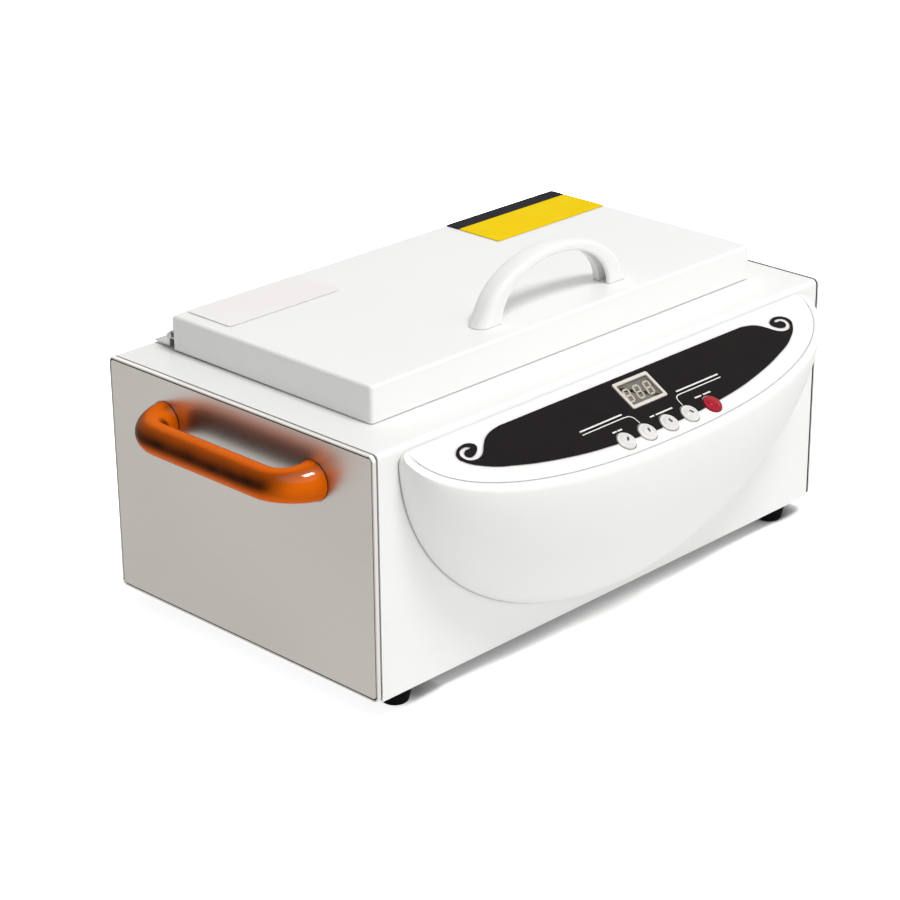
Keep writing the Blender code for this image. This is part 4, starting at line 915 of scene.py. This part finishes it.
def bowlRings(values, turns, sweeps, wall, top, back):
    start = onFace(0.0, top, -wall).z
    bottom = onFace(0.0, values["topEdge"]).z - values["printDepth"] + wall
    rings = []
    for sweep in sweeps:
        out = abs(math.cos(sweep)) ** (2 / values["bowlPower"])
        fore = abs(math.sin(sweep)) ** (2 / values["bowlPower"])
        ring = []
        for turn in turns:
            across, down = halfMoon(turn, values["lipHalf"] - wall, values["lipDepth"] - wall - top,
                                    values["lipPower"], values["corner"])
            lip = onFace(across, top + down, -wall)
            across, down = halfMoon(turn, values["printHalf"] - wall, start - bottom,
                                    values["printPower"], values["corner"])
            ring.append(Vector((lip.x + (across - lip.x) * out, back + (lip.y - back) * fore,
                                lip.z + (start - down - lip.z) * out)))
        rings.append(ring)
    return rings


def ringSolid(name, rings):
    # a half-moon bowl joins two unlike outlines, so its skin is laid ring by ring
    work = bmesh.new()
    rows = [[work.verts.new(point) for point in ring] for ring in rings]
    for upper, lower in zip(rows, rows[1:]):
        for i in range(len(upper) - 1):
            work.faces.new((upper[i], upper[i + 1], lower[i + 1], lower[i]))
    work.faces.new(rows[0])
    work.faces.new(rows[-1])
    work.faces.new([row[0] for row in rows] + [row[-1] for row in reversed(rows)])
    bmesh.ops.recalc_face_normals(work, faces=work.faces)
    mesh = bpy.data.meshes.new(name)
    work.to_mesh(mesh)
    work.free()
    return newObject(name, mesh)


def sweepAngles(first, count):
    return [first * (1 - step / count) for step in range(count + 1)]


buttonShape = {"down": 0.0438, "across": (-0.0349, -0.0182, -0.0007, 0.0166, 0.0354), "radius": 0.0055,
               "proud": 0.0022, "shoulder": 0.0009, "hole": 0.0059,
               "dome": ((0.0, 0.0), (0.0012, 0.00005), (0.0024, 0.00025), (0.0033, 0.0006)),
               "step": ((0.0038, 0.0001), (0.0041, 0.0)),
               "edge": ((0.0004, 0.0), (0.0001, 0.0001), (0.0, 0.0004)),
               "skirt": ((0.0066, -0.0026), (0.0066, -0.0036), (0.002, -0.0036), (0.002, -0.0051),
                         (0.0, -0.0051)),
               "mark": (0.0007, 0.0014), "markDeep": 0.0002, "markProud": 0.00004, "markRound": 0.0006,
               "markTurns": (-40, 25)}
displayShape = {"middle": (-0.0006, 0.01935), "outer": (0.0278, 0.0183), "outerCorner": 0.0010,
                "inner": (0.0250, 0.0150), "innerCorner": 0.0005, "frame": 0.0010, "frameEdge": 0.0002,
                "frameAngle": math.radians(60), "moduleDeep": 0.0100, "moduleCorner": 0.0004,
                "moduleRim": 0.0006, "moduleSink": 0.0002, "digit": (0.0052, 0.0094), "bar": 0.0011,
                "barCut": 0.46, "barEdge": 0.3, "barGaps": (1.15, 0.70), "barHeight": 0.00025,
                "pitch": 0.0081, "slant": 0.20, "sunk": 0.0004}


def makeHousing(values):
    back = shellLow.y - gap
    turns = moonTurns(values["turns"])
    bowl = bowlRings(values, turns, sweepAngles(values["firstSweep"], values["sweeps"]), 0.0,
                     values["topEdge"], back)
    grooved = []
    for out, height in values["groove"]:     # a fine line is sunk inside the lip
        ring = []
        for turn in turns:
            across, down = halfMoon(turn, values["lipHalf"] - values["lipRound"] - values["creaseIn"] + out,
                                    values["lipDepth"] - values["lipRound"] - values["topEdge"] + out,
                                    values["lipPower"], values["creaseCorner"])
            ring.append(onFace(across, values["topEdge"] + down, height))
        grooved.append(ring)
    crease = grooved[-1]
    sharp = bowlRings(values, turns, [math.pi / 2], 0.0, values["topEdge"], back)[0]
    rounding = []
    for step in range(1, values["roundSteps"]):
        share = step / values["roundSteps"]
        rounding.append([start * (1 - share) ** 2 + edge * 2 * share * (1 - share) + end * share ** 2
                         for start, edge, end in zip(crease, sharp, bowl[0])])
    housing = ringSolid("controlHousing", grooved + rounding + bowl)
    hollowRings = bowlRings(values, moonTurns(values["hollowTurns"]),
                            sweepAngles(math.pi / 2, values["hollowSweeps"]), values["wall"],
                            values["hollowTop"], back)
    past = [Vector((point.x, back + values["hollowPast"], point.z)) for point in hollowRings[-1]]
    cutters = [ringSolid("hollowCutter", hollowRings + [past])]
    down = buttonShape["down"]
    for across in buttonShape["across"]:
        cutters.append(rodPiece("holeCutter", buttonShape["hole"], onFace(across, down, -cut),
                                onFace(across, down, cut)))
    width, tall = displayShape["inner"]
    window = boxPiece("windowCutter", (-width / 2, -tall / 2, -cut), (width / 2, tall / 2, cut))
    cutters.append(placed(window, faceMove(*displayShape["middle"])))
    carve(housing, *cutters)
    smoothed(housing, 24)
    settle(housing, "whitePlastic", "case", "white_plastic", "control_housing")


filmShape = {
    "thick": 0.0004, "lift": 0.0003, "topLine": 0.007, "windowCorner": 0.0012,
    "shoulder": [(98.0, 7.0), (105.0, 8.2), (110.5, 10.4), (114.8, 13.8), (118.4, 17.2), (122.5, 19.5),
                 (127.0, 19.9), (130.9, 18.4), (132.6, 15.2), (131.3, 12.4), (128.0, 11.0), (125.0, 11.1)],
    "channelEnd": [(123.1, 12.2), (124.9, 12.9)],
    "ball": [(127.3, 12.9), (129.3, 14.4), (129.2, 16.5), (127.0, 17.6), (123.6, 16.8)],
    "hook": [(120.2, 14.3), (119.6, 11.9), (121.9, 10.0), (125.6, 9.3), (130.4, 10.2), (133.9, 12.7),
             (134.7, 15.8), (132.9, 18.7), (129.6, 21.8), (124.5, 24.9), (117.0, 28.5), (108.0, 31.3),
             (97.0, 34.5), (81.0, 38.0), (62.0, 41.2), (42.0, 43.2), (21.0, 44.6), (0.0, 45.0)]}


def filmOutline(values):
    points = values["shoulder"] + values["channelEnd"] + values["ball"] + values["hook"]
    line = smoothLine([Vector((across, down)) / 1000 for across, down in points], 6)
    right = [(0.0, values["topLine"])] + [(point.x, point.y) for point in line]
    left = [(-across, down) for across, down in reversed(right[1:-1])]
    return [(across, -down) for across, down in right + left]


def makeFilm(values):
    width, tall = displayShape["outer"]
    across, down = displayShape["middle"]
    window = roundedOutline(width + 2 * gap, tall + 2 * gap, values["windowCorner"], 4, (across, -down))
    film = flatPiece("controlFilm", [filmOutline(values), window], values["thick"])
    down = buttonShape["down"]
    carve(film, *[rodPiece("ringCutter", buttonShape["hole"] + gap, (across, -down, -cut),
                           (across, -down, cut)) for across in buttonShape["across"]])
    placed(film, faceMove(0, 0, values["lift"] + values["thick"] / 2))
    settle(film, "blackFilm", "case", "black_film", "control_overlay")


printShape = {
    "thick": 0.00006, "line": 0.0009, "fine": 0.0006,
    "bars": [((-57.0, 28.6), (-24.2, 28.6)), ((20.2, 28.6), (55.3, 28.6)),
             ((-39.2, 36.6), (-36.0, 36.6)), ((-35.2, 36.6), (-31.8, 36.6)),
             ((-9.4, 36.6), (-6.0, 36.6)), ((-4.6, 36.6), (8.8, 36.6)),
             ((27.6, 36.6), (33.0, 36.6)), ((34.6, 36.6), (40.6, 36.6))],
    "leaders": [[(-57.0, 30.9), (-24.5, 30.9), (-21.0, 31.4), (-19.2, 33.0), (-18.6, 35.0), (-18.3, 37.6)],
                [(55.3, 30.9), (20.5, 30.9), (18.0, 31.4), (16.7, 33.0), (16.4, 35.0), (16.4, 37.6)]]}


def strip(line, width):
    # both sides of a line, as one closed outline
    ways = [(after - before).normalized() for before, after in zip(line, line[1:])]
    ways = [ways[0]] + [(a + b).normalized() for a, b in zip(ways, ways[1:])] + [ways[-1]]
    over = [(point.x - way.y * width / 2, point.y + way.x * width / 2) for point, way in zip(line, ways)]
    under = [(point.x + way.y * width / 2, point.y - way.x * width / 2) for point, way in zip(line, ways)]
    return over + under[::-1]


def inMetres(points):
    return [Vector((across, -down)) / 1000 for across, down in points]


def makePrint(values):
    outlines = [strip(inMetres(bar), values["line"]) for bar in values["bars"]]
    for leader in values["leaders"]:
        first, *rest = inMetres(leader)
        outlines.append(strip([first] + smoothLine(rest, 5), values["fine"]))
    lines = flatPiece("panelPrint", outlines, values["thick"])
    lift = filmShape["lift"] + filmShape["thick"] + values["thick"] / 2
    placed(lines, faceMove(0, 0, lift))
    settle(lines, "panelPrint", "case", "white_plastic")


def makeDisplay(values):
    middle = faceMove(*values["middle"])
    width, tall = (side - 2 * gap for side in values["inner"])
    bezel = flatPiece("displayBezel", [roundedOutline(*values["outer"], values["outerCorner"], 5),
                                       roundedOutline(width, tall, values["innerCorner"], 4)],
                      values["frame"])
    changed(bezel, "BEVEL", width=values["frameEdge"], segments=2, limit_method="ANGLE",
            angle_limit=values["frameAngle"], harden_normals=False)
    placed(bezel, middle @ Matrix.Translation((0, 0, gap + values["frame"] / 2)))
    smoothed(bezel, 40)
    settle(bezel, "beigePlastic", "case", "beige_plastic", "display_bezel")
    module = roundedBox("displayModule", (-width / 2, -tall / 2, -values["moduleDeep"]),
                        (width / 2, tall / 2, -gap), (along(2), values["moduleCorner"], 3))
    choose(module, "FACE", facing(2, 1))
    bpy.ops.mesh.inset(thickness=values["moduleRim"])
    bpy.ops.mesh.inset(thickness=values["moduleSink"], depth=-values["moduleSink"])
    leaveEdit()
    placed(module, middle)
    smoothed(module, 30)
    settle(module, "greyPlastic", "case", "grey_plastic", "display_module")
    makeDigits(values, middle)


def digitBar(name, length, values):
    thick, height = values["bar"], values["barHeight"]
    bar = roundedBox(name, (-length / 2, -thick / 2, -height), (length / 2, thick / 2, height),
                     (along(2), thick * values["barCut"], 1),
                     (edgeAt(2, height), height * values["barEdge"], 1))
    leaveEdit()
    return bar


def makeDigits(values, middle):
    width, tall = values["digit"]
    thick = values["bar"]
    level = digitBar("levelBar", width - thick * values["barGaps"][0], values)
    upright = digitBar("uprightBar", tall / 2 - thick * values["barGaps"][1], values)
    slant = Matrix(((1, values["slant"], 0, 0), (0, 1, 0, 0), (0, 0, 1, 0), (0, 0, 0, 1)))
    for digit in (-1, 0, 1):
        column = middle @ Matrix.Translation((digit * values["pitch"], 0, -values["sunk"])) @ slant
        made = [(level, Matrix.Translation((0, rise * (tall - thick) / 2, 0))) for rise in (-1, 0, 1)]
        for side in (-1, 1):
            for rise in (-1, 1):
                place = Matrix.Translation((side * (width - thick) / 2, rise * (tall - thick) / 4, 0))
                made.append((upright, place @ Matrix.Rotation(quarterTurn, 4, "Z")))
        bars = [copied(source, f"digitBars{digit + 2}", column @ place) for source, place in made]
        deselect()
        for bar in bars:
            bar.select_set(True)
        bpy.context.view_layer.objects.active = bars[0]
        bpy.ops.object.join()
        settle(bars[0], "digitBar", "case", "beige_plastic")
        bars[0].name = f"digit{digit + 2}"
    bpy.data.objects.remove(level)
    bpy.data.objects.remove(upright)


def makeButtons(values):
    radius, proud, shoulder = values["radius"], values["proud"], values["shoulder"]
    profile = [(out, proud - down) for out, down in values["dome"]]
    profile += [(out, shoulder + up) for out, up in values["step"]]
    profile += [(radius - short, shoulder - down) for short, down in values["edge"]]
    profile += [(radius, values["skirt"][0][1]), *values["skirt"]]
    cap = spunPiece("buttonCap", profile, 40, 50)
    width, tall = values["mark"]
    mark = roundedBox("capMark", (-width, -tall, proud - values["markDeep"]),
                      (width, tall, proud + values["markProud"]), (along(2), values["markRound"], 4))
    leaveEdit()
    firstTurn, nextTurn = values["markTurns"]
    for index, across in enumerate(values["across"]):
        place = faceMove(across, values["down"])
        number = index + 1
        look, slot = ("clearCap", "clear_cap") if number < len(values["across"]) else ("redCap", "red_cap")
        settle(copied(cap, f"button{number}", place), look, f"key_{number}", slot, f"button_{number}")
        if slot == "clear_cap":
            turn = Matrix.Rotation(math.radians(nextTurn * index + firstTurn), 4, "Z")
            settle(copied(mark, f"capMark{number}", place @ turn), "capMark", f"key_{number}", "dark_label")
    bpy.data.objects.remove(cap)
    bpy.data.objects.remove(mark)


makeHousing(housingShape)
makeFilm(filmShape)
makePrint(printShape)
makeDisplay(displayShape)
makeButtons(buttonShape)
print("control housing made")


# Chamber

chamberShape = {"wall": 0.0008, "corner": 0.012, "floorRound": 0.006, "rim": 0.010}


def makeChamber(values):
    rim, wall = values["rim"], values["wall"]
    low = tankLow + Vector((rim, rim, wall))
    high = tankHigh - Vector((rim, rim, 0.0))
    tank = roundedBox("chamberTank", low, high, (along(2), values["corner"], 8),
                      (edgeAt(2, low.z), values["floorRound"], 5))
    choose(tank, "FACE", facing(2, 1))
    bpy.ops.mesh.extrude_region_move()
    bpy.ops.transform.resize(
        value=(1 + 2 * rim / (high.x - low.x), 1 + 2 * rim / (high.y - low.y), 1),
        center_override=((low.x + high.x) / 2, (low.y + high.y) / 2, 0))
    bpy.ops.mesh.delete(type="FACE")
    leaveEdit()
    changed(tank, "SOLIDIFY", thickness=wall, offset=-1.0, use_even_offset=True)
    editMesh(tank)
    closeUp()
    leaveEdit()
    smoothed(tank, 40, True)
    settle(tank, "brightSteel", "case", "bright_steel", "chamber_tank")


makeChamber(chamberShape)
print("chamber made")


# Screws seen from outside

screwShape = {"head": 0.0016, "wide": 0.96, "rim": 0.0004, "shank": 0.0014, "lead": 0.0006,
              "dome": ((0.45, 0.00008), (0.75, 0.00035), (0.93, 0.00080)),
              "recess": (0.0026, 0.0006, 0.0008), "above": 0.001, "threadPitch": 0.0006,
              "threadDeep": 0.00018, "threadFrom": 0.0004, "tip": 0.0006, "tipRound": 0.0002,
              "turns": (20, 35),
              "kinds": {"foot_screw": (0.0032, 2, 180, ("front_left", "front_right", "rear_left",
                                                        "rear_right")),
                        "rear_screw": (0.0028, 1, -90, ("left", "middle", "right")),
                        "inlet_screw": (0.0028, 1, -90, ("left", "right"))}}


def makeScrews(values):
    head, shank, pitch, above = (values[key] for key in ("head", "shank", "threadPitch", "above"))
    for kind, (radius, axis, lean, ends) in values["kinds"].items():
        low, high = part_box(f"{kind}_{ends[0]}")
        length = (high - low)[axis] - head
        wide = values["wide"] * radius
        profile = [(0.0, head)] + [(share * wide, head - down) for share, down in values["dome"]]
        profile += [(wide, values["rim"]), (wide, 0.0), (shank, 0.0)]
        for step in range(int((length - above) / pitch)):
            level = -values["threadFrom"] - step * pitch
            profile += [(shank, level), (shank - values["threadDeep"], level - pitch / 2)]
        profile += [(shank - values["tipRound"], -length + values["lead"]), (values["tip"], -length),
                    (0.0, -length)]
        screw = spunPiece("panHeadScrew", profile, 32, 50)
        long, thick, deep = values["recess"]
        slots = [boxPiece("recessCutter", (-x / 2, -y / 2, head - deep), (x / 2, y / 2, head + above))
                 for x, y in ((long, thick), (thick, long))]
        carve(screw, *slots)
        smoothed(screw, 40)
        for index, end in enumerate(ends):
            node = f"{kind}_{end}"
            low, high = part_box(node)
            seat = (low + high) / 2
            seat[axis] = high.y - head if axis == 1 else low.z + head
            turn = math.radians(values["turns"][0] + values["turns"][1] * index)
            place = (Matrix.Translation(seat) @ Matrix.Rotation(math.radians(lean), 4, "X")
                     @ Matrix.Rotation(turn, 4, "Z"))
            name = node[0] + node.title().replace("_", "")[1:]
            settle(copied(screw, name, place), "zincPlate", "case", "zinc_plate", node)
        bpy.data.objects.remove(screw)


makeScrews(screwShape)
print("screws made")


# CAD nodes that keep their shape

nodeLooks = {
    "zincPlate": ["base_plate", "hinge_fixed_leaf", "hinge_moving_leaf", "heater_clamp_left",
                  "heater_clamp_right"],
    "brightSteel": ["hinge_pin", "temperature_probe", "lid_liner", "instrument_tray", "tray_grip_left",
                    "tray_grip_right"],
    "mineralWool": ["tank_insulation", "lid_insulation"],
    "heaterSheath": ["heater_element"],
    "boardGreen": ["control_board"],
    "blackPlastic": ["thermal_cutout", "wiring_loom", "power_inlet"],
    "silicone": ["lid_gasket"]}


def dressNodes():
    shown = {node: look for look, nodes in nodeLooks.items() for node in nodes}
    for node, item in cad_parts.items():
        if not item.hide_render:
            paint(item, shown.get(node, "zincPlate"))


dressNodes()
print("CAD nodes dressed")


# Floor, light and camera

studio = {"floorSize": 8.0, "floorColour": (245, 245, 244), "floorLift": 4.6, "floorMirrored": 0.84,
          "contactReach": 0.021, "contactWay": (-0.50, 0.0, 0.87), "contactPower": 2.0,
          "contactFrom": (-0.166, -0.142), "contactLeast": 0.08, "ambient": (0.35, 0.60),
          "horizon": 0.4,
          "lamps": {"keyLight": {"way": (0.0, -0.43, 0.90), "distance": 1.9, "size": 0.50, "power": 18.2},
                    "frontFill": {"way": (0.12, -0.95, 0.25), "distance": 2.2, "size": 1.8, "power": 8.3}},
          "lens": 104.424, "sensor": 36.0, "cameraPlace": (-0.98737, -0.925345, 0.64773),
          "azimuth": -45.507, "elevation": 23.027, "roll": -0.535}


def makeFloor(values):
    deselect()
    bpy.ops.mesh.primitive_plane_add(size=values["floorSize"])
    floor = named("studioFloor")
    look = bpy.data.materials.new("paleFloor")
    look.use_nodes = True
    tree = look.node_tree
    shader = tree.nodes["Principled BSDF"]
    output = tree.nodes["Material Output"]
    setSockets(shader, Base_Color=fromScreen(*values["floorColour"]), Roughness=0.7)
    lean = addNode(tree, "CombineXYZ")       # the contact shade falls to the front and right
    for socket, part in zip(lean.inputs, values["contactWay"]):
        socket.default_value = part
    near = addHollow(tree, values["contactReach"], 16)
    deep = addMath(tree, "POWER", values["contactPower"])
    lift = addMath(tree, "MULTIPLY", values["floorLift"])
    grey = addNode(tree, "CombineColor")
    coords = addNode(tree, "TexCoord")
    place = addNode(tree, "SeparateXYZ")
    # the photograph keeps little shade past the left end
    kept = addRamp(tree, values["contactFrom"], (values["contactLeast"], 1.0))
    bright = setSockets(addNode(tree, "Emission"), Color=(1, 1, 1, 1), Strength=1.0)
    toShade = addNode(tree, "MixShader")
    seen = setSockets(addNode(tree, "BsdfDiffuse"), Roughness=0.0)
    mirrored = setSockets(addNode(tree, "Emission"), Color=(1, 1, 1, 1), Strength=values["floorMirrored"])
    rays = addNode(tree, "LightPath")
    toCamera = addNode(tree, "MixShader")
    toGloss = addNode(tree, "MixShader")
    joinUp(tree, (lean, 0, near, "Normal"), (near, "AO", deep, 0), (deep, "Value", lift, 0),
           (lift, "Value", grey, 0), (lift, "Value", grey, 1), (lift, "Value", grey, 2),
           (grey, "Color", seen, "Color"), (coords, "Object", place, 0), (place, "X", kept, "Value"),
           (kept, "Result", toShade, 0), (bright, 0, toShade, 1), (seen, 0, toShade, 2),
           (rays, "Is Camera Ray", toCamera, 0), (shader, 0, toCamera, 1), (toShade, 0, toCamera, 2),
           (rays, "Is Glossy Ray", toGloss, 0), (toCamera, 0, toGloss, 1), (mirrored, 0, toGloss, 2),
           (toGloss, 0, output, "Surface"))
    floor.data.materials.append(look)


def makeWorld(values):
    world = bpy.data.worlds.new("studioWorld")
    bpy.context.scene.world = world
    world.use_nodes = True
    tree = world.node_tree
    soft = tree.nodes["Background"]
    soft.inputs["Color"].default_value = (1, 1, 1, 1)
    # the left end is the darker one in the photograph
    side = addRamp(tree, (-1.0, 1.0), values["ambient"], "LINEAR")
    rays = addNode(tree, "LightPath")
    seen = addMath(tree, "MAXIMUM")
    white = setSockets(addNode(tree, "Background"), Color=(1, 1, 1, 1))
    coords = addNode(tree, "TexCoord")
    split = addNode(tree, "SeparateXYZ")
    rise = addRamp(tree, (0.0, values["horizon"]), (values["floorMirrored"], 1.0))
    lit = addMath(tree, "MAXIMUM")
    mix = addNode(tree, "MixShader")
    joinUp(tree, (coords, "Generated", split, 0), (split, "X", side, "Value"),
           (side, "Result", soft, "Strength"), (split, "Z", rise, "Value"), (rise, "Result", lit, 0),
           (rays, "Is Camera Ray", lit, 1), (lit, "Value", white, "Strength"),
           (rays, "Is Camera Ray", seen, 0), (rays, "Is Glossy Ray", seen, 1), (seen, 0, mix, 0),
           (soft, 0, mix, 1), (white, 0, mix, 2), (mix, 0, tree.nodes["World Output"], "Surface"))


def makeLamps(values):
    middle = (cadBox[0] + cadBox[1]) / 2
    for name, given in values["lamps"].items():
        way = Vector(given["way"]).normalized()
        lamp = bpy.data.lights.new(name, "AREA")
        lamp.energy = given["power"]
        lamp.size = given["size"]
        holder = newObject(name, lamp)
        holder.location = middle + way * given["distance"]
        holder.rotation_euler = way.to_track_quat("Z", "Y").to_euler()


def makeCamera(values):
    azimuth, elevation, roll = (math.radians(values[key]) for key in ("azimuth", "elevation", "roll"))
    back = Vector((math.sin(azimuth) * math.cos(elevation), -math.cos(azimuth) * math.cos(elevation),
                   math.sin(elevation)))
    right = Vector((math.cos(azimuth), math.sin(azimuth), 0.0))
    up = back.cross(right)
    across = right * math.cos(roll) + up * math.sin(roll)
    upright = up * math.cos(roll) - right * math.sin(roll)
    camera = bpy.data.cameras.new("camera")
    camera.lens = values["lens"]
    camera.sensor_width = values["sensor"]
    holder = newObject("camera", camera)
    turn = Matrix((across, upright, back)).transposed()
    holder.matrix_world = Matrix.Translation(values["cameraPlace"]) @ turn.to_4x4()
    bpy.context.scene.camera = holder


makeFloor(studio)
makeWorld(studio)
makeLamps(studio)
makeCamera(studio)
bpy.context.scene.view_settings.view_transform = "Standard"
print("studio made")
